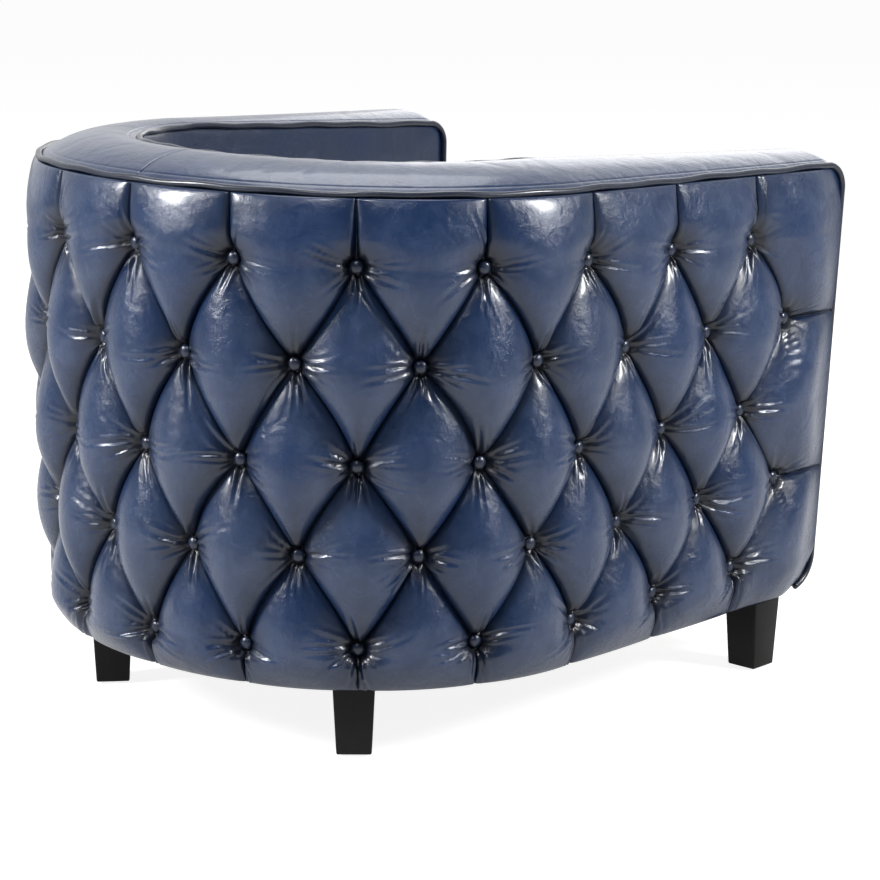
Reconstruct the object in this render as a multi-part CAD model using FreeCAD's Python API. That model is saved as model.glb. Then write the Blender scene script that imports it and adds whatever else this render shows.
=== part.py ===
import FreeCAD, Part
import math
import os
from FreeCAD import Vector

# Horseshoe armchair, deep buttoned on the outside. Millimetres, +Z up, floor at z = 0.
# The chair faces -Y. Left and right are those of the person who sits in it: left is +X.

# Plan of the buttoned outside, seen from above: a back arc, two corner arcs, two straight arms
overall_depth = 905.0
back_radius = 508.0
back_half_angle = 16.4
corner_radius = 352.5
arm_splay = 1.4

# Heights of the body and of the rim, which falls from the back to the arm fronts
body_bottom = 96.0
rim_height_back = 696.5
rim_height_front = 669.5

# Layers of the wall, as distances outward from the plan, at the rim and at the bottom
pit_offset_top = 4.5
pit_offset_bottom = -21.5
pad_back_top = -5.5
pad_back_bottom = -24.5
outer_board_thickness = 4.0
frame_inner_offset = -94.7
inner_board_thickness = 3.0
lining_face_offset = -122.0
soft_gap = 0.4
seat_gap = 0.3

# Deep buttoning
tuft_depth = 22.5
button_pitch = 144.0
pitch_growth = 0.0000706
row_heights = (618.5, 497.0, 373.5, 259.0, 141.5)
row_fan_height = 314.0
row_fan_rate = 0.000104
pleat_height_share = 0.4
upright_pleat_share = 0.24
rim_fullness = 0.3
hem_fullness = 0.33
front_fullness = 0.3
pit_radius = 9.5
button_radius = 8.4
button_edge = 2.2
button_height = 5.5
button_crown_radius = 4.6
button_sides = 8
full_columns = 6.5
panel_join_column = 4 + 1 / 3
cells_per_pitch = 6
cells_per_row = 3
edge_rows = (0.35, 0.7)
front_shares = (0.0, 0.3, 0.55, 0.75, 0.9, 1.0)
pillow_power = 0.7
front_power = 1.5

# Cap over the rim, which turns down over the arm fronts, and its piping
piping_radius = 4.0
piping_sides = 6
cap_thickness = 14.0
cap_crown = 15.0
cap_edge = 0.5
cap_flats = 4
cap_shoulder_gap = 2.6
lap_gap = 0.1
inner_rim_rise = 21.0
cap_corner_radius = 31.0
cap_crown_low = 3.0
curl_radius = 45.0
curl_angle = 78.0
front_lean = 1.0

# Timber frame
board_thickness = 18.0
post_width = 28.0
back_post_gap = 5.4
corner_post_share = 0.494
root_post_gap = 14.6
arm_post_share = 0.465
board_step_angle = 3.3
rail_height = 78.0
rail_thickness = 22.0
rail_top = 248.0
front_rail_thickness = 26.0
top_ring_set_in = 2.4
base_ring_inset = 29.2
base_ring_end_gap = 12.0
base_rail_back_set_back = 133.5
base_rail_notch_set_back = 69.5

# Seat platform and front border
web_width = 58.0
web_thickness = 1.6
long_web_pitch = 112.0
long_web_count = 4
cross_web_front_gap = 117.5
cross_web_back_gap = 285.0
cross_web_count = 5
web_grip = 16.0
deck_thickness = 30.0
border_set_back = 27.5
border_thickness = 12.0
border_crown = 6.0
border_board_thickness = 5.0

# Loose seat cushion
cushion_side_offset = -134.0
cushion_set_back = 25.5
cushion_front_corner = 55.0
cushion_foot = 14.0
cushion_boxing = 112.0
cushion_crown = 24.0
cushion_draw_in = 0.982
foot_share = 0.96
dome_rings = ((1.0, 0.0), (0.98, 0.32), (0.92, 0.63), (0.78, 0.88), (0.5, 1.0))
outline_steps = (2, 6, 5)
cushion_piping_radius = 3.5
cover_thickness = 1.6

# Legs and their fixings
leg_top_width = 52.0
leg_foot_width = 43.0
front_leg_set_back = 106.0
front_leg_offset = -43.85
rear_leg_share = 0.3126
rear_leg_offset = -74.9
rear_leg_turn = 3.0
glide_radius = 11.0
glide_height = 3.0
bolt_radius = 4.0
bolt_clearance = 0.15
bolt_in_leg = 45.0
block_length = 54.0
block_height = 40.0
block_outer_offset = -33.0
nut_radius = 7.5
nut_height = 7.0
nut_sides = 6
round_sides = 16
bolt_above_nut = 3.0
dust_cover_thickness = 0.8
dust_cover_offset = -36.0

# Plan values that follow from the sizes above
splay = math.radians(arm_splay)
back_angle = math.radians(back_half_angle)
side_angle = math.pi / 2 - splay
plan_back = overall_depth / 2 - tuft_depth
back_centre = Vector(0, plan_back - back_radius, 0)
centre_step = back_radius - corner_radius
corner_centre = back_centre + Vector(math.sin(back_angle), math.cos(back_angle), 0) * centre_step
back_length = back_radius * back_angle
corner_length = corner_radius * (side_angle - back_angle)
arm_start = back_length + corner_length
heading = Vector(math.cos(side_angle), -math.sin(side_angle), 0)
outward = Vector(math.sin(side_angle), math.cos(side_angle), 0)
arm_origin = corner_centre + outward * corner_radius
band_front = cap_edge + cap_crown
arm_run = (arm_origin.y + overall_depth / 2) / math.cos(splay) - band_front
arm_end = arm_start + arm_run
corner_u = arm_run - cap_corner_radius
front_y = -overall_depth / 2
border_front = front_y + border_set_back
cushion_front = front_y + cushion_set_back
base_rail_back = front_y + base_rail_back_set_back
base_rail_notch = front_y + base_rail_notch_set_back
post_stations = {"back_posts": back_length - back_post_gap,
                 "rear_corner_posts": back_length + corner_length * corner_post_share,
                 "arm_root_posts": arm_start - root_post_gap,
                 "arm_posts": arm_start + arm_run * arm_post_share}
shortest_run = 0.01
same_place = 0.01

# Rim plane, tilted about the X direction
rim_fall = rim_height_back - rim_height_front
rim_length = plan_back - (arm_origin.y - arm_run * math.cos(splay))
rim_tilt = math.degrees(math.atan(rim_fall / rim_length))
rim_middle = rim_height_back - plan_back * rim_fall / rim_length
rim_pivot = Vector(0, 0, rim_middle)
turn_angle = 90.0 - rim_tilt + front_lean
curl_centre_z = body_bottom + piping_radius + seat_gap + curl_radius
front_drop = rim_height_front - cap_corner_radius - curl_centre_z


def mix(first, second, share):
    return first * (1 - share) + second * share


def layer(z, top, bottom):
    """Offset at height z of a wall layer that leans from the rim to the bottom"""
    share = (z - body_bottom) / (rim_middle - body_bottom)
    return bottom + (top - bottom) * share


def plan_point(station, offset, z=0.0):
    """Point on the left half of the plan: station along the outside, offset outward"""
    if station <= back_length:
        angle = station / back_radius
        reach = back_radius + offset
        return back_centre + Vector(reach * math.sin(angle), reach * math.cos(angle), z)
    if station <= arm_start:
        angle = back_angle + (station - back_length) / corner_radius
        reach = corner_radius + offset
        return corner_centre + Vector(reach * math.sin(angle), reach * math.cos(angle), z)
    return arm_origin + heading * (station - arm_start) + outward * offset + Vector(0, 0, z)


def edges_along(path, place):
    """Edges of a closed path: two numbers are a corner, four an arc's middle and its end"""
    ends = [place(*item[-2:]) for item in path]
    edges = []
    for index, item in enumerate(path):
        before = ends[index - 1]
        if len(item) == 4:
            edges.append(Part.Arc(before, place(*item[:2]), ends[index]).toShape())
        else:
            edges.append(Part.LineSegment(before, ends[index]).toShape())
    return edges


def closed_wire(path, place):
    return Part.Wire(Part.__sortEdges__(edges_along(path, place)))


def closed_face(path, place):
    return Part.Face(closed_wire(path, place))


def at_station(station, base=0.0):
    """Places section coordinates (offset, height) in the upright plane at a station"""
    return lambda offset, height: plan_point(station, offset, base + height)


def joined(shapes):
    solid = shapes[0].multiFuse(shapes[1:]) if len(shapes) > 1 else shapes[0]
    return solid.removeSplitter()


def run(path, start, end, base=0.0):
    """Solid whose section follows the left half of the plan between two stations"""
    pieces = []
    arcs = ((0.0, back_length, back_centre, back_radius), (back_length, arm_start, corner_centre, corner_radius))
    for low, high, centre, radius in arcs:
        first = max(start, low)
        last = min(end, high)
        if last - first > shortest_run:
            face = closed_face(path, at_station(first, base))
            pieces.append(face.revolve(centre, Vector(0, 0, -1), math.degrees((last - first) / radius)))
    if end > arm_start + shortest_run:
        first = max(start, arm_start)
        face = closed_face(path, at_station(first, base))
        pieces.append(face.extrude(heading * (end - first)))
    return joined(pieces)


def polygon_face(points):
    return Part.Face(Part.makePolygon(points + [points[0]]))


def sewn(faces):
    """Closed solid from flat faces that share their edges"""
    shell = Part.makeShell(faces)
    shell.sewShape()
    solid = Part.Solid(Part.Shell(shell.Faces))
    if solid.Volume < 0:
        solid.reverse()
    return solid


def faceted(rings, closed=False, twisted=False):
    """Solid with flat sides between rings of points; closed joins the last ring to the first"""
    faces = [] if closed else [polygon_face(rings[0]), polygon_face(rings[-1])]
    pairs = list(zip(rings, rings[1:]))
    if closed:
        pairs.append((rings[-1], rings[0]))
    for ring, following in pairs:
        for index in range(len(ring)):
            corners = [ring[index - 1], ring[index], following[index], following[index - 1]]
            if twisted:
                faces.append(polygon_face(corners[:3]))
                faces.append(polygon_face([corners[0], corners[2], corners[3]]))
            else:
                faces.append(polygon_face(corners))
    return sewn(faces)


def round_ring(sides, radius, z):
    angles = [2 * math.pi * index / sides for index in range(sides)]
    return [Vector(radius * math.cos(angle), radius * math.sin(angle), z) for angle in angles]


def prism(sides, radius, low, high, place=Vector(0, 0, 0)):
    """Upright round bar or hole with a few flat sides, about a place"""
    solid = faceted([round_ring(sides, radius, low), round_ring(sides, radius, high)])
    solid.translate(place)
    return solid


def mirrored(shape):
    return shape.mirror(Vector(0, 0, 0), Vector(1, 0, 0))


def both_halves(half):
    return joined([half, mirrored(half)])


def tilted(shape):
    """Turns a shape made level at the rim's middle height into the rim's plane"""
    turned = shape.copy()
    turned.rotate(rim_pivot, Vector(1, 0, 0), rim_tilt)
    return turned


def save(name, shape):
    solids = shape.Solids
    shape = solids[0] if len(solids) == 1 else Part.makeCompound(solids)
    shape.exportStep("parts/" + name + ".step")
    box = shape.BoundBox
    print("%-24s solids %2d faces %4d valid %s" % (name, len(solids), len(shape.Faces), shape.isValid()),
          "z %.1f to %.1f" % (box.ZMin, box.ZMax))


# The arm's own upright plane, level with the rim: u runs forward, w is out of the band
def arm_place(u, w, direction=0.0):
    """Places section coordinates (offset, rise) at a point of the band's path"""
    turn = math.radians(direction)
    base = arm_origin + heading * u + Vector(0, 0, rim_middle + w)
    rise = heading * math.sin(turn) + Vector(0, 0, math.cos(turn))
    return lambda offset, up: base + outward * offset + rise * up


turn = math.radians(turn_angle)
corner_end_u = corner_u + cap_corner_radius * math.sin(turn)
corner_end_w = -cap_corner_radius * (1 - math.cos(turn))
front_end_u = corner_end_u + front_drop * math.cos(turn)
front_end_w = corner_end_w - front_drop * math.sin(turn)
curl_centre_u = front_end_u - curl_radius * math.sin(turn)
curl_centre_w = front_end_w - curl_radius * math.cos(turn)
corner_pivot = arm_place(corner_u, -cap_corner_radius)(0, 0)
curl_pivot = arm_place(front_end_u, front_end_w, turn_angle)(0, -curl_radius)


def along_arm(section, rise_at_start, bottom_section):
    """Solid of a section that runs along the arm top, round its corner and down the front"""
    level = section(0.0, arm_place(corner_u, 0))
    top = faceted([section(rise_at_start, arm_place(0, 0)), level], twisted=True)
    corner = polygon_face(level).revolve(corner_pivot, outward, turn_angle)
    upper = section(0.0, arm_place(corner_end_u, corner_end_w, turn_angle))
    lower = bottom_section(0.0, arm_place(front_end_u, front_end_w, turn_angle))
    front = faceted([upper, lower], twisted=True)
    curl = polygon_face(lower).revolve(curl_pivot, outward, curl_angle)
    return [top, corner, front, curl]


def round_back(section, rise):
    """Solids of the same section round the back and the corner, up to the arm"""
    pieces = []
    face = polygon_face(section(rise, at_station(0.0, rim_middle)))
    pieces.append(face.revolve(back_centre, Vector(0, 0, -1), back_half_angle))
    face = polygon_face(section(rise, at_station(back_length, rim_middle)))
    pieces.append(face.revolve(corner_centre, Vector(0, 0, -1), math.degrees(side_angle - back_angle)))
    return pieces


def side_outline(inset, rise_at_start=0.0):
    """Prism of the arm seen from the side, drawn in by an inset from the piping's line"""
    def around(centre_u, centre_w, radius, angle):
        return centre_u + radius * math.sin(angle), centre_w + radius * math.cos(angle)

    radius = cap_corner_radius - inset
    low_radius = curl_radius - inset
    low_w = curl_centre_w - curl_centre_z
    down = (turn + math.pi) / 2
    path = [(-rim_length, rise_at_start - inset), (0, rise_at_start - inset), (corner_u, -inset),
            around(corner_u, -cap_corner_radius, radius, turn / 2) + around(corner_u, -cap_corner_radius, radius, turn),
            around(curl_centre_u, curl_centre_w, low_radius, turn),
            around(curl_centre_u, curl_centre_w, low_radius, down) + (curl_centre_u, curl_centre_w - low_radius),
            (curl_centre_u, low_w), (-rim_length, low_w)]
    face = closed_face(path, lambda u, w: arm_origin + heading * u + Vector(0, 0, rim_middle + w))
    face.translate(outward * -2 * corner_radius)
    return tilted(face.extrude(outward * 4 * corner_radius))


def below_rim(solid, drop):
    """Cuts a solid off along the rim's plane, a drop below it"""
    size = 4 * corner_radius
    block = Part.makeBox(size, size, size, Vector(-size / 2, -size / 2, rim_middle - drop - size))
    return solid.common(tilted(block))


# Cap band
def cap_section(outer, shoulder, crown):
    """Section of the cap: a crowned pad that laps over the top edges of both wall pads"""
    inner_edge = lining_face_offset + piping_radius + seat_gap
    lining_back = frame_inner_offset - inner_board_thickness + 2 * seat_gap
    lap = -piping_radius - lap_gap

    def section(rise, place):
        path = [(shoulder, -cap_thickness), (shoulder, lap), (outer, lap), (outer, cap_edge)]
        for index in range(1, cap_flats):
            share = index / cap_flats
            path.append((mix(outer, inner_edge, share), cap_edge + rise * share + crown * 4 * share * (1 - share)))
        path += [(inner_edge, rise + cap_edge), (inner_edge, rise + lap), (lining_back, rise + lap),
                 (lining_back, -cap_thickness)]
        return [place(*corner) for corner in path]
    return section


def make_cap():
    outer_top = pit_offset_top - piping_radius - seat_gap
    shoulder_top = pad_back_top - cap_shoulder_gap
    outer_low = layer(curl_centre_z, pit_offset_top, pit_offset_bottom) - piping_radius - seat_gap
    shoulder_low = pad_back_bottom - soft_gap
    upper = cap_section(outer_top, shoulder_top, cap_crown)
    lower = cap_section(outer_low, shoulder_low, cap_crown_low)
    pieces = round_back(upper, inner_rim_rise) + along_arm(upper, inner_rim_rise, lower)
    half = tilted(joined(pieces))
    save("cap_left", half)
    save("cap_right", mirrored(half))


# Piping along both edges of the cap band
def piping_section(offset):
    def section(rise, place):
        corners = round_ring(piping_sides, piping_radius, 0)
        return [place(offset + corner.x, rise + corner.y) for corner in corners]
    return section


def make_piping():
    outer_low = layer(curl_centre_z, pit_offset_top, pit_offset_bottom)
    lines = (("outer_piping", pit_offset_top, outer_low, 0.0),
             ("inner_piping", lining_face_offset, lining_face_offset, inner_rim_rise))
    for name, top_offset, low_offset, rise in lines:
        upper = piping_section(top_offset)
        lower = piping_section(low_offset)
        half = joined(round_back(upper, rise) + along_arm(upper, rise, lower))
        save(name, tilted(both_halves(half)))


# Deep-buttoned outside
def column_station(column):
    """Station of a button column: the pitch widens a little towards the arm fronts"""
    distance = abs(column) * button_pitch
    return distance + pitch_growth * distance * distance


def row_height(row, station):
    """Height of a row between 1 and 5: rows close up a little towards the arm fronts"""
    lower = min(int(row), len(row_heights) - 1)
    share = row - lower
    height = row_heights[lower - 1] * (1 - share) + row_heights[lower] * share
    return row_fan_height + (height - row_fan_height) * (1 - row_fan_rate * station)


pad_inset = piping_radius + soft_gap
top_arc_radius = cap_corner_radius - pad_inset
low_arc_radius = curl_radius - pad_inset
rim_slope = math.tan(math.radians(rim_tilt))
arc_centre = tilted(Part.Vertex(corner_pivot)).Point
arc_centre_u = (arm_origin.y - arc_centre.y) / math.cos(splay)
curl_centre = tilted(Part.Vertex(curl_pivot)).Point
curl_u = (arm_origin.y - curl_centre.y) / math.cos(splay)


def rim_z(y):
    return rim_middle + y * rim_slope


def front_station(z):
    """Station of the buttoned panel's front edge at a height"""
    share = max(arc_centre.z - z, 0.0) / (arc_centre.z - curl_centre.z)
    return arm_start + mix(arc_centre_u + top_arc_radius, curl_u + low_arc_radius, share)


def panel_top(station):
    """Top edge of the buttoned panel: under the piping, then round the arm's corner"""
    u = station - arm_start
    if u <= arc_centre_u:
        return rim_z(plan_point(station, 0.0).y) - pad_inset
    inside = max(top_arc_radius ** 2 - (u - arc_centre_u) ** 2, 0.0)
    return arc_centre.z + math.sqrt(inside)


def panel_bottom(station):
    """Bottom edge of the buttoned panel: level, then curling up at the arm's front"""
    lowest = body_bottom + seat_gap
    curl_lowest = curl_centre.z - low_arc_radius
    into = station - arm_start - curl_u
    if into <= 0:
        return mix(lowest, curl_lowest, max(1 + into / low_arc_radius, 0.0) ** 2)
    return curl_centre.z - math.sqrt(max(low_arc_radius ** 2 - into ** 2, 0.0))


def swell(share):
    return math.sin(math.pi * share) ** pillow_power


def diamond(a, b):
    """Height share inside a diamond: 0 at its buttons, low along its pleats, 1 in the middle"""
    along = swell(a) + swell(b)
    return pleat_height_share * along + (1 - 2 * pleat_height_share) * swell(a) * swell(b)


def tuft_share(column, row):
    """Height share of the buttoned surface: diamonds, and upright pleats above and below"""
    column = abs(column)
    last = len(row_heights)
    if row < 1 or row > last:
        away = 1 - row if row < 1 else row - last
        fullness = rim_fullness if row < 1 else hem_fullness
        across = diamond(column % 1, column % 1)
        pleat = fullness * away + upright_pleat_share * math.sin(math.pi * away)
        middle = mix(1.0, fullness, away ** 2)
        return mix(pleat, middle, across)
    return diamond((column + (row - 1) / 2) % 1, (column - (row - 1) / 2) % 1)


def tuft_point(column, row, front_share):
    """Point of the buttoned surface, and its height share"""
    side = -1 if column < 0 else 1
    share = tuft_share(column, row)
    z = 0.0
    for _ in range(4):
        station = panel_station(column, front_share, z)
        top = panel_top(station)
        bottom = panel_bottom(station)
        if row < 1:
            z = mix(row_height(1, station), top, 1 - row)
        elif row > len(row_heights):
            z = mix(row_height(len(row_heights), station), bottom, row - len(row_heights))
        else:
            z = row_height(row, station)
    station = panel_station(column, front_share, z)
    share = mix(share, front_fullness, front_share ** front_power)
    offset = layer(z, pit_offset_top, pit_offset_bottom) + tuft_depth * share
    point = plan_point(station, offset, z)
    return Vector(side * point.x, point.y, point.z)


def grid_columns(first, last):
    """Column numbers and front shares from one edge of a panel to the other"""
    count = round((min(last, full_columns) - first) * cells_per_pitch)
    columns = [(first + index / cells_per_pitch, 0.0) for index in range(count + 1)]
    if last > full_columns:
        columns += [(full_columns, share) for share in front_shares[1:]]
    return columns


def grid_rows():
    """Row numbers from the rim down to the hem: 0 is the rim, 1 to 5 the buttons, 6 the hem"""
    last = len(row_heights)
    rows = [0.0] + list(edge_rows)
    rows += [1 + index / cells_per_row for index in range((last - 1) * cells_per_row + 1)]
    return rows + [last + share for share in edge_rows] + [last + 1.0]


def is_button(column, row):
    if abs(row - round(row)) > same_place or not 1 <= round(row) <= len(row_heights):
        return False
    shift = 0.0 if round(row) % 2 == 1 else 0.5
    return abs((column - shift) - round(column - shift)) < same_place


def on_falling_pleat(column, row):
    return abs((column - row / 2 + 0.5) - round(column - row / 2 + 0.5)) < same_place


def surface_normal(column, row):
    """Outward direction at a button, square to the leaning wall"""
    step = 0.001
    z = row_height(row, column_station(column))
    station = column_station(column)
    side = -1 if column < 0 else 1
    here = plan_point(station, layer(z, pit_offset_top, pit_offset_bottom), z)
    beside = plan_point(station + step, layer(z, pit_offset_top, pit_offset_bottom), z)
    above = plan_point(station, layer(z + step, pit_offset_top, pit_offset_bottom), z + step)
    normal = (above - here).cross(beside - here)
    normal.normalize()
    if normal.dot(here - corner_centre) < 0:
        normal = normal * -1
    return Vector(side * normal.x, normal.y, normal.z)


def cut_corner(button, normal, point):
    """Point on the rim of a button's flat pit, on the way to a neighbour"""
    way = point - button
    way = way - normal * way.dot(normal)
    way.normalize()
    return button + way * pit_radius


def add_triangle(facets, corners, buttons):
    """Adds a triangle, with a corner that is a button cut back to the rim of its pit"""
    cut = [index for index in range(3) if corners[index][0] in buttons]
    if not cut:
        facets.append([corner[1] for corner in corners])
        return
    index = cut[0]
    key = corners[index][0]
    centre, normal, ring = buttons[key]
    second = corners[(index + 1) % 3]
    third = corners[(index + 2) % 3]
    near_second = cut_corner(centre, normal, second[1])
    near_third = cut_corner(centre, normal, third[1])
    ring.append((near_second, near_third))
    rest = [near_second, second[1], third[1], near_third]
    facets.append([rest[0], rest[1], rest[2]])
    facets.append([rest[0], rest[2], rest[3]])


def ordered_ring(pairs):
    """Corners of a pit in order, from the facet edges that meet it"""
    ring = [pairs[0][0], pairs[0][1]]
    rest = list(pairs[1:])
    while rest:
        nearest = min(rest, key=lambda pair: pair[0].distanceToPoint(ring[-1]))
        rest.remove(nearest)
        ring.append(nearest[1])
    return ring[:-1]


def make_tufted_panel(first, last):
    """Closed solid: the faceted buttoned surface, a plain back and four narrow edges"""
    columns = grid_columns(first, last)
    rows = grid_rows()
    grid = [[tuft_point(column, row, share) for row in rows] for column, share in columns]
    buttons = {}
    for i, (column, share) in enumerate(columns):
        for j, row in enumerate(rows):
            if share == 0 and is_button(column, row):
                buttons[(i, j)] = (grid[i][j], surface_normal(column, row), [])
    facets = []
    for i in range(len(columns) - 1):
        for j in range(len(rows) - 1):
            column, row = columns[i][0], rows[j]
            low_left, low_right = ((i, j + 1), grid[i][j + 1]), ((i + 1, j + 1), grid[i + 1][j + 1])
            up_left, up_right = ((i, j), grid[i][j]), ((i + 1, j), grid[i + 1][j])
            falls = on_falling_pleat(column, row) or (up_left[0] in buttons) or (low_right[0] in buttons)
            if falls:
                add_triangle(facets, (up_left, low_left, low_right), buttons)
                add_triangle(facets, (up_left, low_right, up_right), buttons)
            else:
                add_triangle(facets, (up_left, low_left, up_right), buttons)
                add_triangle(facets, (up_right, low_left, low_right), buttons)
    for centre, normal, ring in buttons.values():
        facets.append(ordered_ring(ring))
    back = []
    for (column, share), outer in zip(columns, grid):
        pair = []
        for point, offset in ((outer[0], pad_back_top), (outer[-1], pad_back_bottom)):
            station = panel_station(column, share, point.z)
            inner = plan_point(station, layer(point.z, pad_back_top, pad_back_bottom), point.z)
            pair.append(Vector(-inner.x if column < 0 else inner.x, inner.y, inner.z))
        back.append(pair)
    for i in range(len(columns) - 1):
        top, top_next = back[i][0], back[i + 1][0]
        low, low_next = back[i][1], back[i + 1][1]
        facets.append([top, top_next, low])
        facets.append([low, top_next, low_next])
        facets.append([grid[i][0], grid[i + 1][0], top_next])
        facets.append([grid[i][0], top_next, top])
        facets.append([grid[i][-1], low, low_next])
        facets.append([grid[i][-1], low_next, grid[i + 1][-1]])
    for end in (0, -1):
        facets.append(grid[end] + [back[end][1], back[end][0]])
    return sewn([polygon_face(points) for points in facets])


def panel_station(column, share, z):
    if share > 0:
        start = column_station(full_columns)
        return start + (front_station(z) - start) * share
    return column_station(column)


def make_tufted_panels():
    arm = make_tufted_panel(panel_join_column, full_columns + 1)
    save("tufted_back", make_tufted_panel(-panel_join_column, panel_join_column))
    save("tufted_arm_left", arm)
    save("tufted_arm_right", mirrored(arm))


def make_buttons():
    """Covered buttons, each seated face to face on the flat pit that its twine pulls down"""
    profile = ((button_radius, 0), (button_radius, button_edge), (button_crown_radius, button_height))
    button = faceted([round_ring(button_sides, radius, z) for radius, z in profile])
    groups = {"buttons_back": [], "buttons_arm_left": [], "buttons_arm_right": []}
    reach = int(full_columns)
    for row in range(1, len(row_heights) + 1):
        shift = 0.0 if row % 2 == 1 else 0.5
        columns = [index - shift for index in range(-reach, reach + 2)]
        for column in columns:
            if abs(column) > full_columns or (shift == 0.0 and abs(column) > reach):
                continue
            seat = tuft_point(column, row, 0.0)
            normal = surface_normal(column, row)
            copy = button.copy()
            copy.rotate(Vector(0, 0, 0), Vector(0, 0, 1).cross(normal), math.degrees(math.acos(normal.z)))
            copy.translate(seat)
            side = "back" if abs(column) < panel_join_column else ("arm_left" if column > 0 else "arm_right")
            groups["buttons_" + side].append(copy)
    for name, solids in groups.items():
        save(name, Part.makeCompound(solids))


# Rigid wall: boards, posts and rails between the outside and the lining
board_outer_top = pad_back_top - soft_gap
board_outer_bottom = pad_back_bottom - soft_gap
post_outer_top = board_outer_top - outer_board_thickness - seat_gap
post_outer_bottom = board_outer_bottom - outer_board_thickness - seat_gap
ring_drop = cap_thickness + seat_gap
post_drop = ring_drop + board_thickness
base_top = body_bottom + board_thickness
front_post_start = arm_end - ring_drop - post_width
platform_top = rail_top + 2 * web_thickness + 2 * seat_gap
far_end = arm_end + post_width
above_rim = rim_height_back + 2 * inner_rim_rise
inner_board_face = frame_inner_offset - seat_gap
lining_back_offset = inner_board_face - inner_board_thickness - seat_gap


def leaning_section(outer_top, outer_bottom, inner_top, inner_bottom, low, high):
    return [(layer(low, outer_top, outer_bottom), low), (layer(high, outer_top, outer_bottom), high),
            (layer(high, inner_top, inner_bottom), high), (layer(low, inner_top, inner_bottom), low)]


def upright_section(outer, inner, low, high):
    return [(outer, low), (outer, high), (inner, high), (inner, low)]


def save_pair(name, left):
    save(name + "_left", left)
    save(name + "_right", mirrored(left))


def save_group(name, left_solids):
    save(name, Part.makeCompound(left_solids + [mirrored(solid) for solid in left_solids]))


def bent_board(section):
    """Half of a leaning board round the back, in narrow flats like the kerfs that let it bend"""
    arcs = ((0.0, back_length, back_half_angle), (back_length, arm_start, math.degrees(side_angle) - back_half_angle))
    rings = []
    for low, high, angle in arcs:
        steps = math.ceil(angle / board_step_angle)
        rings += [[at_station(mix(low, high, step / steps))(*corner) for corner in section]
                  for step in range(1 if rings else 0, steps + 1)]
    return faceted(rings)


def make_boards():
    """Bent ply that backs the buttoned outside, and the thinner ply that backs the lining"""
    outer = leaning_section(board_outer_top, board_outer_bottom, board_outer_top - outer_board_thickness,
                            board_outer_bottom - outer_board_thickness, body_bottom + seat_gap, above_rim)
    inner = upright_section(inner_board_face, inner_board_face - inner_board_thickness, platform_top, above_rim)
    outline = side_outline(ring_drop)
    backs = (("outer_board", bent_board(outer)), ("inner_board", run(inner, 0.0, arm_start)))
    for (name, half_back), section in zip(backs, (outer, inner)):
        save(name + "_back", both_halves(below_rim(half_back, ring_drop)))
        save_pair(name + "_arm", run(section, arm_start, far_end).common(outline))


def make_posts():
    section = leaning_section(post_outer_top, post_outer_bottom, frame_inner_offset, frame_inner_offset,
                              base_top, above_rim)
    for name, station in post_stations.items():
        post = below_rim(run(section, station - post_width / 2, station + post_width / 2), post_drop)
        save_group(name, [post])
    section = leaning_section(post_outer_top, post_outer_bottom, frame_inner_offset, frame_inner_offset,
                              curl_centre_z, above_rim)
    post = run(section, front_post_start, far_end).common(side_outline(ring_drop))
    save_pair("front_post", below_rim(post, post_drop))


def make_rings():
    """Horseshoe boards: the top one carries the cap, the base one stands on the legs"""
    top = upright_section(post_outer_top - top_ring_set_in, frame_inner_offset, -post_drop, -ring_drop)
    half = tilted(run(top, 0.0, far_end, rim_middle)).common(side_outline(ring_drop))
    save("top_ring", both_halves(half))
    base = upright_section(-base_ring_inset, frame_inner_offset, body_bottom, base_top)
    half = run(base, 0.0, arm_start + curl_centre_u - base_ring_end_gap)
    for hole in bolt_holes(body_bottom, base_top):
        half = half.cut(hole)
    save("base_ring", both_halves(half))


def inner_region(offset, front, back, low, high):
    """Solid inside the plan at an offset, between a front and a back distance along Y"""
    corner = plan_point(arm_start, offset)
    joint = plan_point(back_length, offset)
    middle = plan_point((back_length + arm_start) / 2, offset)
    front_point = corner + heading * (corner_radius * 2)
    centre_top = plan_point(0.0, offset)

    def mirror_point(point):
        return Vector(-point.x, point.y, point.z)

    edges = [Part.Arc(mirror_point(joint), centre_top, joint).toShape(),
             Part.Arc(joint, middle, corner).toShape(),
             Part.LineSegment(corner, front_point).toShape(),
             Part.LineSegment(front_point, mirror_point(front_point)).toShape(),
             Part.LineSegment(mirror_point(front_point), mirror_point(corner)).toShape(),
             Part.Arc(mirror_point(corner), mirror_point(middle), mirror_point(joint)).toShape()]
    face = Part.Face(Part.Wire(edges))
    face.translate(Vector(0, 0, low))
    solid = face.extrude(Vector(0, 0, high - low))
    wide = 4 * corner_radius
    slab = Part.makeBox(wide, back - front, high - low, Vector(-wide / 2, front, low))
    return solid.common(slab)


border_back = border_front + border_thickness
border_board_front = border_back + seat_gap
front_rail_front = border_board_front + border_board_thickness
band_inner_offset = lining_face_offset - piping_radius - soft_gap


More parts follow.
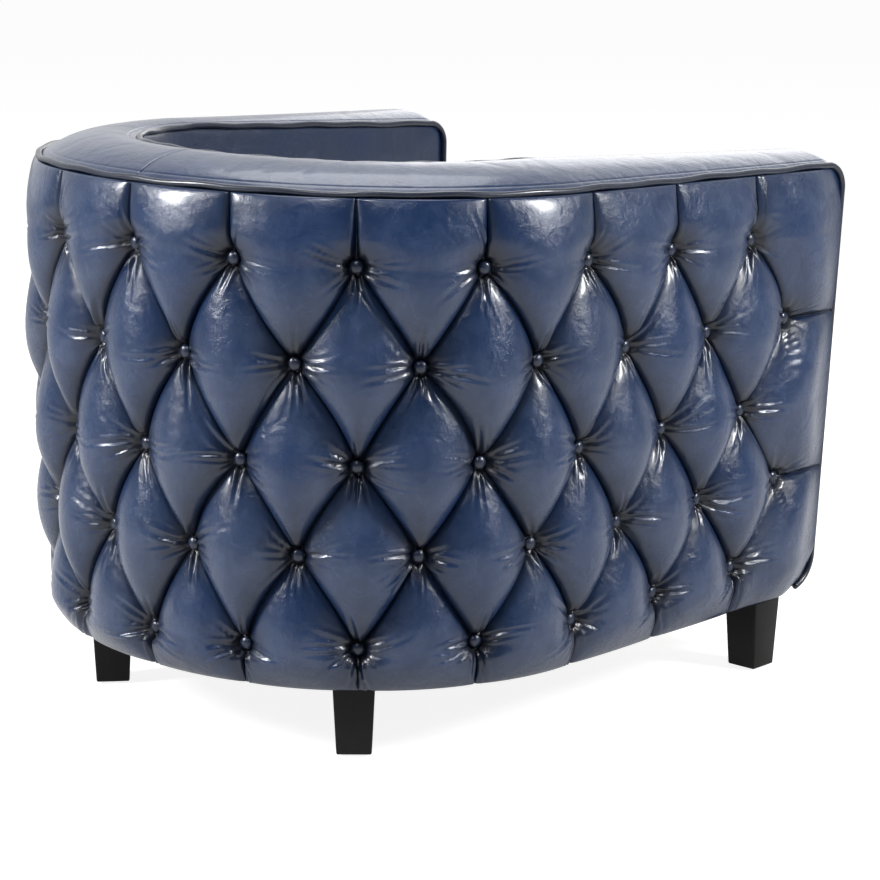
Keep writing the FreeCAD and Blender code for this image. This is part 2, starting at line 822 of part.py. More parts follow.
def make_rails():
    """Seat rails between the posts, and the front rails between the arms"""
    section = upright_section(frame_inner_offset + rail_thickness, frame_inner_offset, rail_top - rail_height, rail_top)
    half = post_width / 2
    back, rear_corner, arm_root, arm = post_stations.values()
    centre_rail = both_halves(run(section, 0.0, back - half))
    sides = [run(section, back + half, rear_corner - half), run(section, rear_corner + half, arm_root - half)]
    save("seat_rails_back", Part.makeCompound([centre_rail] + sides + [mirrored(solid) for solid in sides]))
    arm_rails = [run(section, arm_root + half, arm - half), run(section, arm + half, front_post_start)]
    save_pair("seat_rails_arm", Part.makeCompound(arm_rails))
    rail = inner_region(frame_inner_offset, front_rail_front, front_rail_front + front_rail_thickness,
                        rail_top - rail_height, rail_top)
    save("seat_rail_front", rail)
    wide = inner_region(frame_inner_offset, base_rail_notch, base_rail_back, body_bottom, base_top)
    nose = inner_region(band_inner_offset, front_rail_front, base_rail_notch, body_bottom, base_top)
    save("base_rail_front", joined([wide, nose]))


# Legs, their bolts and the blocks that hold them
def leg_places():
    """Left-hand leg centres, turns, and stations along the plan"""
    front = arm_end - front_leg_set_back
    rear = back_length + corner_length * rear_leg_share
    rear_turn = rear_leg_turn + math.degrees(mix(back_angle, side_angle, rear_leg_share))
    return (("front", plan_point(front, front_leg_offset), arm_splay, front),
            ("rear", plan_point(rear, rear_leg_offset), -rear_turn, rear))


def bolt_holes(low, high):
    radius = bolt_radius + bolt_clearance
    return [prism(round_sides, radius, low, high, place) for _, place, _, _ in leg_places()]


def square(width, z):
    half = width / 2
    return [Vector(-half, -half, z), Vector(half, -half, z), Vector(half, half, z), Vector(-half, half, z)]


def make_legs():
    bolts, nuts, blocks, glides = [], [], [], []
    block_top = base_top + block_height
    bolt_foot = body_bottom - bolt_in_leg
    bolt_top = block_top + nut_height + bolt_above_nut
    hole_radius = bolt_radius + bolt_clearance
    for name, place, turned, station in leg_places():
        leg = faceted([square(leg_foot_width, glide_height), square(leg_top_width, body_bottom)])
        leg.rotate(Vector(0, 0, 0), Vector(0, 0, 1), turned)
        leg.translate(place)
        hole = prism(round_sides, hole_radius, bolt_foot - seat_gap, body_bottom, place)
        save_pair("leg_" + name, leg.cut(hole))
        bolts.append(prism(round_sides, bolt_radius, bolt_foot, bolt_top, place))
        glides.append(prism(round_sides, glide_radius, 0.0, glide_height, place))
        section = upright_section(block_outer_offset, frame_inner_offset, base_top, block_top)
        block = run(section, station - block_length / 2, station + block_length / 2)
        blocks.append(block.cut(prism(round_sides, hole_radius, base_top, block_top, place)))
        nut = prism(nut_sides, nut_radius, block_top, block_top + nut_height, place)
        nuts.append(nut.cut(prism(round_sides, hole_radius, block_top, block_top + nut_height, place)))
    save_group("hanger_bolts", bolts)
    save_group("leg_nuts", nuts)
    save_group("corner_blocks", blocks)
    save_group("glides", glides)


def make_dust_cover():
    """Thin cloth under the frame, cut out round the legs"""
    low = body_bottom - dust_cover_thickness
    sheet = inner_region(dust_cover_offset, base_rail_notch, plan_back, low, body_bottom)
    for _, place, turned, _ in leg_places():
        opening = polygon_face(square(leg_top_width + 2 * seat_gap, low)).extrude(Vector(0, 0, dust_cover_thickness))
        opening.rotate(Vector(0, 0, 0), Vector(0, 0, 1), turned)
        opening.translate(place)
        sheet = sheet.cut(opening).cut(mirrored(opening))
    save("dust_cover", sheet)


# Seat platform
def reach_at(distance, offset):
    """How far the inside of the plan reaches along Y at a sideways distance"""
    radius = corner_radius + offset
    if distance <= plan_point(back_length, offset).x:
        return back_centre.y + math.sqrt((back_radius + offset) ** 2 - distance ** 2)
    return corner_centre.y + math.sqrt(radius ** 2 - (distance - corner_centre.x) ** 2)


def half_width_at(y, offset):
    """Half the width inside the plan at a distance along Y"""
    if y <= arm_origin.y:
        return arm_origin.x + offset + (arm_origin.y - y) * math.tan(splay)
    return corner_centre.x + math.sqrt((corner_radius + offset) ** 2 - (y - corner_centre.y) ** 2)


def web(start, end, crossings, place, across):
    """Strap that weaves over and under the crossing ones; each crossing is (distance, is over)"""
    flat = web_width / 2 + seat_gap
    lift = web_thickness + seat_gap
    line = [(start, 0.0)]
    for middle, over in crossings:
        line += [(middle - flat, lift if over else 0.0), (middle + flat, lift if over else 0.0)]
    line.append((end, 0.0))
    path = line + [(along, up + web_thickness) for along, up in reversed(line)]
    return closed_face(path, place).extrude(across * web_width)


def make_webbing():
    long_places = [(index - (long_web_count - 1) / 2) * long_web_pitch for index in range(long_web_count)]
    cross_first, cross_last = front_y + cross_web_front_gap, plan_back - cross_web_back_gap
    cross_places = [mix(cross_first, cross_last, index / (cross_web_count - 1)) for index in range(cross_web_count)]
    grip_offset = frame_inner_offset + web_grip
    half = web_width / 2
    long_webs = []
    for index, x in enumerate(long_places):
        crossings = [(y, (index + number) % 2 == 0) for number, y in enumerate(cross_places)]
        end = reach_at(abs(x) + half, grip_offset)
        start = front_rail_front + front_rail_thickness - web_grip
        long_webs.append(web(start, end, crossings, lambda along, up: Vector(x - half, along, rail_top + up),
                             Vector(1, 0, 0)))
    cross_webs = []
    for number, y in enumerate(cross_places):
        crossings = [(x, (index + number) % 2 == 1) for index, x in enumerate(long_places)]
        end = min(half_width_at(y - half, grip_offset), half_width_at(y + half, grip_offset))
        cross_webs.append(web(-end, end, crossings, lambda along, up: Vector(along, y - half, rail_top + up),
                              Vector(0, 1, 0)))
    save("webbing_long", Part.makeCompound(long_webs))
    save("webbing_cross", Part.makeCompound(cross_webs))


deck_top = platform_top + deck_thickness


def make_platform():
    deck = inner_region(lining_face_offset - soft_gap, border_board_front, plan_back, platform_top, deck_top)
    save("deck_pad", deck)
    low = body_bottom + seat_gap
    middle = (low + deck_top) / 2
    path = [(border_back, low), (border_front, low), (border_front - border_crown, middle, border_front, deck_top),
            (border_back, deck_top)]
    wide = 4 * corner_radius
    slab = closed_face(path, lambda y, z: Vector(-wide / 2, y, z)).extrude(Vector(wide, 0, 0))
    region = inner_region(band_inner_offset, border_front - 2 * border_crown, border_back, low, deck_top)
    save("front_border", slab.common(region))
    board = inner_region(band_inner_offset, border_board_front, front_rail_front, low, platform_top - seat_gap)
    save("border_board", board)


def make_lining():
    """Plain padded lining of the back and arms, which ends under the inner piping"""
    inset = piping_radius + soft_gap
    section = upright_section(lining_back_offset, lining_face_offset, platform_top, above_rim)
    back = below_rim(run(section, 0.0, arm_start), inset - inner_rim_rise)
    save("lining_back", both_halves(back))
    save_pair("lining_arm", run(section, arm_start, far_end).common(side_outline(inset, inner_rim_rise)))


# Loose seat cushion
cushion_low = deck_top + seat_gap
low_seam_z = cushion_low + cushion_foot
high_seam_z = low_seam_z + cushion_boxing
cushion_middle = Vector(0, (cushion_front + plan_back + cushion_side_offset) / 2, 0)


def cushion_outline(inset):
    """Plan of the cushion at an inset, as points all the way round"""
    offset = cushion_side_offset - inset
    radius = cushion_front_corner - inset
    front = cushion_front + inset
    turn_station = arm_start + (arm_origin.y - front - radius) / math.cos(splay)
    centre = plan_point(turn_station, offset - radius)
    half = []
    back_steps, side_steps, corner_steps = outline_steps
    for low, high, steps in ((0.0, back_length, back_steps), (back_length, arm_start, side_steps)):
        half += [plan_point(mix(low, high, step / steps), offset) for step in range(1, steps + 1)]
    for step in range(corner_steps + 1):
        angle = mix(side_angle, math.pi, step / corner_steps)
        half.append(centre + Vector(radius * math.sin(angle), radius * math.cos(angle), 0))
    other = [Vector(-point.x, point.y, 0) for point in reversed(half)]
    return [plan_point(0.0, offset)] + half + other


def ring_at(outline, share, z):
    """The outline scaled about the cushion's middle, at a height"""
    return [cushion_middle + (point - cushion_middle) * share + Vector(0, 0, z) for point in outline]


def cushion_form(inset):
    """Cushion with a flat underside, boxing drawn in at its waist, and a crowned top"""
    outline = cushion_outline(inset)
    rings = [ring_at(outline, foot_share, cushion_low + inset), ring_at(outline, 1.0, low_seam_z),
             ring_at(outline, cushion_draw_in, (low_seam_z + high_seam_z) / 2)]
    rings += [ring_at(outline, share, high_seam_z + rise * (cushion_crown - inset)) for share, rise in dome_rings]
    return faceted(rings)


def tube_round(outline, radius, sides, z):
    """Closed flat-sided tube along a level outline, mitred at its corners"""
    rings = []
    for index, point in enumerate(outline):
        before = (point - outline[index - 1]).normalize()
        after = (outline[(index + 1) % len(outline)] - point).normalize()
        across = (before + after).normalize().cross(Vector(0, 0, 1))
        across = across / across.dot(before.cross(Vector(0, 0, 1)))
        section = round_ring(sides, radius, 0)
        rings.append([point + across * corner.x + Vector(0, 0, z + corner.y) for corner in section])
    return faceted(rings, True)


def make_cushion():
    save("cushion_cover", cushion_form(0.0).cut(cushion_form(cover_thickness)))
    save("cushion_core", cushion_form(cover_thickness + seat_gap))
    outline = cushion_outline(-cushion_piping_radius - seat_gap)
    for name, z in (("cushion_piping_bottom", low_seam_z), ("cushion_piping_top", high_seam_z)):
        save(name, tube_round(outline, cushion_piping_radius, piping_sides, z))


os.makedirs("parts", exist_ok=True)
make_legs()
make_rings()
make_posts()
make_rails()
make_boards()
make_webbing()
make_dust_cover()
make_platform()
make_lining()
make_tufted_panels()
make_buttons()
make_cap()
make_piping()
make_cushion()
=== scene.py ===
import math

import bpy
import numpy as np
from mathutils import Matrix, Vector


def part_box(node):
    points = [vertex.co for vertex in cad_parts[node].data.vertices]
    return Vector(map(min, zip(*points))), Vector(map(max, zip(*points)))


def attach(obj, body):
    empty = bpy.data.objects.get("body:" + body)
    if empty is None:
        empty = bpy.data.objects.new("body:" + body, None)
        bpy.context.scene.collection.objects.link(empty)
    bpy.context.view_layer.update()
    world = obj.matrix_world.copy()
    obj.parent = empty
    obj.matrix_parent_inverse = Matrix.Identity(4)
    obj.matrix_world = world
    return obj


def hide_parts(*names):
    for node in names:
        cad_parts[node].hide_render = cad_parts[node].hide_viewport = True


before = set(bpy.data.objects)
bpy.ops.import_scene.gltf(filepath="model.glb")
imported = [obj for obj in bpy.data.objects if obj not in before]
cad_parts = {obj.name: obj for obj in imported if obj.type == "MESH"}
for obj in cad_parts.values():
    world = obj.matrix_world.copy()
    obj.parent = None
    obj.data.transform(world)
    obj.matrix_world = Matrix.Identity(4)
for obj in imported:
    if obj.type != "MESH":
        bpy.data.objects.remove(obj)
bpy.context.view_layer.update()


# Legs
# Solid timber blocks that taper on all four sides, lacquered black, each drawn up to the frame by a
# bolt. The front ones stand square to the chair, the rear ones turn with the curve of the back.
leg_names = ("leg_front_left", "leg_front_right", "leg_rear_left", "leg_rear_right")
leg_edge_round = 0.0022
same_level = 1e-5


class Wire:
    """Socket of a shader tree; arithmetic on it adds the Math nodes"""
    def __init__(self, socket):
        self.socket = socket

    def math(self, operation, *values):
        tree = self.socket.id_data
        node = tree.nodes.new("ShaderNodeMath")
        node.operation = operation
        for slot, value in zip(node.inputs, values):
            plug(tree, value, slot)
        return Wire(node.outputs[0])

    def clamped(self, low=0.0, high=1.0):
        return self.math("MINIMUM", self.math("MAXIMUM", self, low), high)


def add_arithmetic(method, operation):
    """Lets a wire stand on either side of an arithmetic sign"""
    setattr(Wire, "__%s__" % method, lambda self, other: self.math(operation, self, other))
    setattr(Wire, "__r%s__" % method, lambda self, other: self.math(operation, other, self))


for method, operation in (("add", "ADD"), ("sub", "SUBTRACT"), ("mul", "MULTIPLY")):
    add_arithmetic(method, operation)


def plug(tree, value, slot):
    """Puts a number, a colour or a wire into a socket"""
    if isinstance(value, Wire):
        tree.links.new(value.socket, slot)
    else:
        slot.default_value = value


class Finish:
    """Material with one surface shader"""
    def __init__(self, name):
        self.material = bpy.data.materials.new(name)
        self.material.use_nodes = True
        self.tree = self.material.node_tree
        self.tree.nodes.clear()
        self.output = self.tree.nodes.new("ShaderNodeOutputMaterial")

    def node(self, kind, settings, output, **values):
        node = self.tree.nodes.new(kind)
        for name, value in settings.items():
            setattr(node, name, value)
        for name, value in values.items():
            plug(self.tree, value, node.inputs[name.replace("_", " ")])
        return Wire(node.outputs[output])

    def place(self):
        return self.node("ShaderNodeTexCoord", {}, "Object")

    def attribute(self, name):
        return self.node("ShaderNodeAttribute", {"attribute_name": name}, "Fac")

    def stretched(self, place, scale):
        return self.node("ShaderNodeMapping", {}, "Vector", Vector=place, Scale=scale)

    def noise(self, place, scale, detail=3.0, roughness=0.5, distortion=0.0):
        return self.node("ShaderNodeTexNoise", {}, "Fac", Vector=place, Scale=scale, Detail=detail,
                         Roughness=roughness, Distortion=distortion)

    def cells(self, place, scale):
        return self.node("ShaderNodeTexVoronoi", {"feature": "DISTANCE_TO_EDGE"}, "Distance",
                         Vector=place, Scale=scale)

    def blend(self, share, first, second):
        node = self.tree.nodes.new("ShaderNodeMix")
        node.data_type = "RGBA"
        plug(self.tree, share, node.inputs[0])
        plug(self.tree, first, node.inputs[6])
        plug(self.tree, second, node.inputs[7])
        return Wire(node.outputs[2])

    def relief(self, height, distance, strength=1.0):
        return self.node("ShaderNodeBump", {}, "Normal", Height=height, Distance=distance,
                         Strength=strength)

    def surface(self, **values):
        shader = self.node("ShaderNodeBsdfPrincipled", {}, "BSDF", **values)
        self.tree.links.new(shader.socket, self.output.inputs["Surface"])
        return self.material


def lacquered_timber():
    """Black lacquer over open-grained timber, a little lighter from wear where the grain stands proud"""
    finish = Finish("black_lacquer")
    place = finish.place()
    grain = finish.noise(finish.stretched(place, (260.0, 260.0, 14.0)), 1.0, 4.0, 0.6, 0.4)
    smears = finish.noise(place, 28.0, 3.0, 0.6)
    colour = finish.blend(grain * smears, (0.003, 0.0028, 0.003, 1.0), (0.014, 0.012, 0.011, 1.0))
    return finish.surface(Base_Color=colour, Roughness=0.34 + smears * 0.2,
                          Normal=finish.relief(grain, 0.0002), Specular_IOR_Level=0.2)


def dress(node, material):
    """Gives a piece or a node its material"""
    materials = node.data.materials
    materials.clear()
    materials.append(material)


def pick(test):
    """Selects, in edit mode, the faces that pass a test"""
    bpy.ops.mesh.select_all(action="DESELECT")
    bpy.ops.object.mode_set(mode="OBJECT")
    for face in bpy.context.object.data.polygons:
        face.select = bool(test(face))
    bpy.ops.object.mode_set(mode="EDIT")
    bpy.ops.mesh.select_mode(type="FACE")


def deselect():
    bpy.ops.object.select_all(action="DESELECT")


def cad_points(name):
    """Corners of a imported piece"""
    return np.array([vertex.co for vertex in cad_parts[name].data.vertices])


def rounded(piece, width, segments):
    """Rounds every edge of the active piece"""
    rounding = piece.modifiers.new("rounding", "BEVEL")
    rounding.width = width
    rounding.segments = segments
    bpy.ops.object.modifier_apply(modifier=rounding.name)


def far_corner(ring, middle):
    """Where, from a leg's middle, its corner farthest to the left lies"""
    corner = ring[np.argmax(ring[:, 0])]
    return corner[0] - middle.x, corner[1] - middle.y


leg_tops = []
leg_material = lacquered_timber()
for name in leg_names:
    corners = cad_points(name)
    low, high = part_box(name)
    middle = (Vector(low) + Vector(high)) / 2
    top = far_corner(corners[corners[:, 2] > high[2] - same_level], middle)
    foot = far_corner(corners[corners[:, 2] < low[2] + same_level], middle)
    reach_top = math.hypot(*top)
    turned = math.atan2(top[1], top[0]) + math.pi / 4
    deselect()
    bpy.ops.mesh.primitive_cube_add(size=1.0)
    leg = bpy.context.object
    leg.name = "dressed_" + name
    width = reach_top * math.sqrt(2)
    leg_tops.append((middle.x, middle.y, width, turned))
    leg.scale = (width, width, high[2] - low[2])
    leg.rotation_euler = (0.0, 0.0, turned)
    leg.location = middle
    bpy.ops.object.transform_apply(location=True, rotation=True, scale=True)
    bpy.ops.object.mode_set(mode="EDIT")
    pick(lambda face: face.normal.z < -0.5)
    taper = math.hypot(*foot) / reach_top
    bpy.ops.transform.resize(value=(taper, taper, 1.0), center_override=(middle.x, middle.y, low[2]))
    bpy.ops.object.mode_set(mode="OBJECT")
    rounded(leg, leg_edge_round, 3)
    bpy.ops.object.shade_smooth_by_angle(angle=math.radians(40))
    dress(leg, leg_material)
    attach(leg, "chair")
    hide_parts(name)


# Timber frame and fixings
# Beech rails and posts with bent ply on both faces, glued and stapled, and a block over each leg that its
# bolt and nut are drawn up against. All of it is covered, and shows only from underneath.
def sawn_timber(name, light, dark, along):
    """Plain planed timber with its grain running one way"""
    finish = Finish(name)
    place = finish.place()
    grain = finish.noise(finish.stretched(place, along), 1.0, 5.0, 0.62, 1.1)
    figure = finish.noise(place, 7.0, 2.0, 0.5, 0.4)
    colour = finish.blend((grain * 0.8 + figure * 0.3 - 0.1).clamped(), light, dark)
    return finish.surface(Base_Color=colour, Roughness=0.55 + grain * 0.2,
                          Normal=finish.relief(grain, 0.0004))


def bright_steel():
    """Zinc-plated steel with a dull, faintly mottled face"""
    finish = Finish("plated_steel")
    mottle = finish.noise(finish.place(), 420.0, 3.0, 0.6)
    colour = finish.blend(mottle, (0.42, 0.43, 0.44, 1.0), (0.62, 0.62, 0.6, 1.0))
    return finish.surface(Base_Color=colour, Roughness=0.28 + mottle * 0.2, Metallic=1.0)


upright_beech = sawn_timber("upright_beech", (0.5, 0.33, 0.19, 1.0), (0.33, 0.19, 0.095, 1.0),
                            (120.0, 120.0, 6.0))
level_beech = sawn_timber("level_beech", (0.48, 0.32, 0.18, 1.0), (0.31, 0.18, 0.09, 1.0),
                          (9.0, 9.0, 130.0))
bent_ply = sawn_timber("bent_ply", (0.56, 0.41, 0.26, 1.0), (0.4, 0.27, 0.16, 1.0), (90.0, 90.0, 5.0))
steel = bright_steel()
timbers = {upright_beech: ("back_posts", "rear_corner_posts", "arm_root_posts", "arm_posts",
                           "front_post_left", "front_post_right", "corner_blocks"),
           level_beech: ("base_ring", "base_rail_front", "border_board", "seat_rail_front",
                         "seat_rails_arm_left", "seat_rails_arm_right", "seat_rails_back", "top_ring"),
           bent_ply: ("outer_board_back", "outer_board_arm_left", "outer_board_arm_right", "inner_board_back",
                      "inner_board_arm_left", "inner_board_arm_right"),
           steel: ("hanger_bolts", "leg_nuts")}
for material, names in timbers.items():
    for name in names:
        dress(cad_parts[name], material)


# Glides
# Turned discs of black nylon, one nailed under each leg to carry it over the floor.
glide_radius = 0.011
glide_height = 0.003
glide_edge_round = 0.0008


def join_pieces(pieces, name):
    """Joins pieces into one, named and left at the origin"""
    deselect()
    for piece in pieces:
        piece.select_set(True)
    bpy.context.view_layer.objects.active = pieces[0]
    bpy.ops.object.join()
    whole = bpy.context.object
    whole.name = name
    whole.data.name = name
    bpy.ops.object.transform_apply(location=True, rotation=True, scale=True)
    return whole


discs = []
for name in leg_names:
    low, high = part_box(name)
    deselect()
    centre = ((low.x + high.x) / 2, (low.y + high.y) / 2, glide_height / 2)
    bpy.ops.mesh.primitive_cylinder_add(vertices=32, radius=glide_radius, depth=glide_height, location=centre)
    disc = bpy.context.object
    rounded(disc, glide_edge_round, 2)
    discs.append(disc)
glides = join_pieces(discs, "foot_glides")
bpy.ops.object.shade_smooth_by_angle(angle=math.radians(40))
nylon = Finish("black_nylon")
scuffs = nylon.noise(nylon.place(), 300.0, 3.0, 0.6)
dress(glides, nylon.surface(Base_Color=(0.012, 0.012, 0.012, 1.0), Roughness=0.4 + scuffs * 0.25))
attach(glides, "chair")
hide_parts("glides")


# Seat webbing
# Woven black elastic straps, interlaced and stapled at both ends over the seat rails.
web_half = 0.029
web_thickness = 0.0016
web_lift = 0.0019
web_slope = 0.012
rail_top = 0.248
long_pitch = 0.112
cross_first = -0.335
cross_pitch = 0.12
long_places = [(index - 1.5) * long_pitch for index in range(4)]
cross_places = [cross_first + index * cross_pitch for index in range(5)]


def laid_grid(name, points, notes=None, merged=2e-5):
    """Closed piece laid over rows of points, with notes kept as attributes for the material"""
    deselect()
    bpy.ops.mesh.primitive_grid_add(x_subdivisions=points.shape[1] - 1, y_subdivisions=points.shape[0] - 1,
                                    size=1.0)
    piece = bpy.context.object
    piece.name = name
    piece.data.name = name
    piece.data.vertices.foreach_set("co", np.ascontiguousarray(points, dtype=np.float32).ravel())
    for note, values in (notes or {}).items():
        attribute = piece.data.attributes.new(note, "FLOAT", "POINT")
        attribute.data.foreach_set("value", np.ascontiguousarray(values, dtype=np.float32).ravel())
    piece.data.update()
    close_seams(piece, merged)
    return piece


def close_seams(piece, distance):
    """Merges what meets, closes the open ends and turns the faces outwards"""
    bpy.ops.object.mode_set(mode="EDIT")
    bpy.ops.mesh.select_all(action="SELECT")
    bpy.ops.mesh.remove_doubles(threshold=distance)
    bpy.ops.mesh.select_all(action="DESELECT")
    bpy.ops.mesh.select_mode(type="EDGE")
    bpy.ops.mesh.select_non_manifold(extend=False, use_wire=False, use_multi_face=False,
                                     use_non_contiguous=False, use_verts=False)
    piece.update_from_editmode()
    if piece.data.total_edge_sel:
        bpy.ops.mesh.fill()
    bpy.ops.mesh.select_all(action="SELECT")
    bpy.ops.mesh.normals_make_consistent(inside=False)
    bpy.ops.object.mode_set(mode="OBJECT")
    bpy.ops.object.shade_smooth()


def woven(name, thread, fine, light, dark):
    """Plain-woven cloth: two sets of ribs across each other"""
    finish = Finish(name)
    place = finish.place()
    warp, weft = [finish.node("ShaderNodeTexWave", {"bands_direction": way}, "Fac", Vector=place,
                              Scale=thread, Distortion=0.6) for way in ("X", "Y")]
    lint = finish.noise(place, fine, 3.0, 0.6)
    return finish.surface(Base_Color=finish.blend(lint, dark, light), Roughness=0.85,
                          Normal=finish.relief(warp * weft + lint * 0.3, 0.0004))


web_cloth = woven("web_cloth", 160.0, 400.0, (0.06, 0.06, 0.058, 1.0), (0.02, 0.02, 0.02, 1.0))


def strap(name, start, end, crossings, lengthwise, centre):
    """One strap that weaves over and under those it crosses"""
    run = np.linspace(start, end, 121)
    over = 0 * run
    for middle, is_over in crossings:
        if is_over:
            away = np.clip((np.abs(run - middle) - web_half) / web_slope, 0, 1)
            over = np.maximum(over, web_lift * (1 + np.cos(np.pi * away)) / 2)
    section = [(-1, 0), (-1, 1), (-0.5, 1), (0, 1), (0.5, 1), (1, 1), (1, 0), (0, 0), (-1, 0)]
    points = []
    for across, level in section:
        beside = centre + across * web_half + 0 * run
        height = rail_top + over + level * web_thickness
        points.append(np.stack([beside, run, height] if lengthwise else [run, beside, height], axis=-1))
    piece = laid_grid(name, np.array(points))
    bpy.ops.object.shade_smooth_by_angle(angle=math.radians(50))
    dress(piece, web_cloth)
    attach(piece, "chair")
    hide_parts("webbing_long" if lengthwise else "webbing_cross")


web_reach = web_half + 0.001
webs = (("long", long_places, cross_places, 0), ("cross", cross_places, long_places, 1))
for way, places, crossed, turn in webs:
    corners = cad_points("webbing_" + way)
    for index, centre in enumerate(places):
        mine = corners[np.abs(corners[:, turn] - centre) < web_reach, 1 - turn]
        crossings = [(place, (index + number) % 2 == turn) for number, place in enumerate(crossed)]
        strap("strap_%s_%d" % (way, index + 1), mine.min(), mine.max(), crossings, turn == 0, centre)


# Buttoned outside
# One skin of waxed hide over a thick wadded pad, pulled down to the frame by the buttons' twine. The
# spare leather between the buttons is folded into pleats, which run on to the rim, the hem and the fronts.
overall_depth = 0.905
back_radius = 0.508
back_half_angle = math.radians(16.4)
corner_radius = 0.3525
arm_splay = math.radians(1.4)
body_bottom = 0.096
rim_height_back = 0.6965
rim_height_front = 0.6695
tuft_depth = 0.0225
pit_offset_top = 0.0045
pit_offset_bottom = -0.0215
pad_back_top = -0.0045
pad_back_bottom = -0.0235
cap_corner_radius = 0.031
curl_radius = 0.045
front_lean = math.radians(1.0)
piping_radius = 0.004
band_front = 0.0155
button_pitch = 0.144
pitch_growth = 0.0706
row_heights = (0.6185, 0.497, 0.3735, 0.259, 0.1415)
row_fan_height = 0.314
row_fan_rate = 0.104
button_radius = 0.0084
last_row = len(row_heights)
seat_gap = 0.0003

side_angle = math.pi / 2 - arm_splay
plan_back = overall_depth / 2 - tuft_depth
back_centre_y = plan_back - back_radius
corner_x = math.sin(back_half_angle) * (back_radius - corner_radius)
corner_y = back_centre_y + math.cos(back_half_angle) * (back_radius - corner_radius)
back_length = back_radius * back_half_angle
arm_start = back_length + corner_radius * (side_angle - back_half_angle)
arm_x = corner_x + math.sin(side_angle) * corner_radius
arm_y = corner_y + math.cos(side_angle) * corner_radius
arm_run = (arm_y + overall_depth / 2) / math.cos(arm_splay) - band_front
corner_u = arm_run - cap_corner_radius
rim_slope = (rim_height_back - rim_height_front) / (plan_back - (arm_y - arm_run * math.cos(arm_splay)))
rim_tilt = math.atan(rim_slope)
rim_middle = rim_height_back - plan_back * rim_slope
turn_angle = math.pi / 2 - rim_tilt + front_lean
curl_height = body_bottom + piping_radius + seat_gap + curl_radius
front_drop = rim_height_front - cap_corner_radius - curl_height
pad_inset = piping_radius + 0.0004


def mix(first, second, share):
    return first * (1 - share) + second * share


def smooth(share):
    share = np.clip(share, 0.0, 1.0)
    return share * share * (3 - 2 * share)


def plan(station, offset):
    """Plan place: station runs along the outside from the middle of the back, left positive"""
    along = np.abs(station)
    on_back = along <= back_length
    on_corner = along <= arm_start
    back_angle = along / back_radius
    corner_angle = back_half_angle + (along - back_length) / corner_radius
    forward = along - arm_start
    x = np.where(on_back, (back_radius + offset) * np.sin(back_angle),
                 np.where(on_corner, corner_x + (corner_radius + offset) * np.sin(corner_angle),
                          arm_x + forward * math.cos(side_angle) + offset * math.sin(side_angle)))
    y = np.where(on_back, back_centre_y + (back_radius + offset) * np.cos(back_angle),
                 np.where(on_corner, corner_y + (corner_radius + offset) * np.cos(corner_angle),
                          arm_y - forward * math.sin(side_angle) + offset * math.cos(side_angle)))
    return np.where(station < 0, -x, x), y


def wall_offset(height, top, bottom):
    """Offset of a leaning layer of the wall at a height"""
    return bottom + (top - bottom) * (height - body_bottom) / (rim_middle - body_bottom)


def tilted(x, y, z):
    """Turns what is made level at the rim's middle height into the rim's plane"""
    rise = z - rim_middle
    return np.stack([x + 0 * rise, y * math.cos(rim_tilt) - rise * math.sin(rim_tilt),
                     rim_middle + y * math.sin(rim_tilt) + rise * math.cos(rim_tilt)], axis=-1)


def side_point(u, w):
    """Where a point of the arm's side view, forward u and rise w, lands: its forward and its height"""
    point = tilted(arm_x, arm_y - u * math.sin(side_angle), rim_middle + w)
    return (arm_y - point[1]) / math.cos(arm_splay), point[2]


corner_end_u = corner_u + cap_corner_radius * math.sin(turn_angle)
corner_end_w = -cap_corner_radius * (1 - math.cos(turn_angle))
front_end_u = corner_end_u + front_drop * math.cos(turn_angle)
front_end_w = corner_end_w - front_drop * math.sin(turn_angle)
arc_u, arc_z = side_point(corner_u, -cap_corner_radius)
curl_u, curl_z = side_point(front_end_u - curl_radius * math.sin(turn_angle),
                            front_end_w - curl_radius * math.cos(turn_angle))
top_arc = cap_corner_radius - pad_inset
low_arc = curl_radius - pad_inset


def column_station(column):
    distance = np.abs(column) * button_pitch
    return np.sign(column) * (distance + pitch_growth * distance * distance)


def row_height(row, station):
    """Height of a row of buttons, or between two; the rows close up towards the arm fronts"""
    level = np.interp(row, np.arange(1, last_row + 1), row_heights)
    return row_fan_height + (level - row_fan_height) * (1 - row_fan_rate * np.abs(station))


def front_station(z):
    share = np.maximum(arc_z - z, 0.0) / (arc_z - curl_z)
    return arm_start + mix(arc_u + top_arc, curl_u + low_arc, share)


def panel_top(station):
    u = np.abs(station) - arm_start
    level = rim_middle + plan(station, 0.0)[1] * rim_slope - pad_inset
    return np.where(u <= arc_u, level, arc_z + np.sqrt(np.maximum(top_arc ** 2 - (u - arc_u) ** 2, 0.0)))


def panel_bottom(station):
    into = np.abs(station) - arm_start - curl_u
    lowest = body_bottom + seat_gap
    level = mix(lowest, curl_z - low_arc, np.maximum(1 + into / low_arc, 0.0) ** 2)
    return np.where(into <= 0, level, curl_z - np.sqrt(np.maximum(low_arc ** 2 - into ** 2, 0.0)))


def panel_height(row, station):
    """Height of any row from 0 at the rim, past the buttons at 1 to 5, to 6 at the hem"""
    inner = row_height(np.clip(row, 1, last_row), station)
    above = mix(inner, panel_top(station), np.clip(1 - row, 0, 1))
    return np.where(row < 1, above, mix(inner, panel_bottom(station), np.clip(row - last_row, 0, 1)))


def half_opening(row):
    """Half the width, in columns, of the pillows whose middles stand on whole columns"""
    wave = 0.5 * (1 - np.abs(1 - np.mod(row - 1, 2)))
    beyond = np.maximum(1 - row, row - last_row)
    return np.where(beyond > 0, 0.05 * smooth(beyond / 0.3), wave)


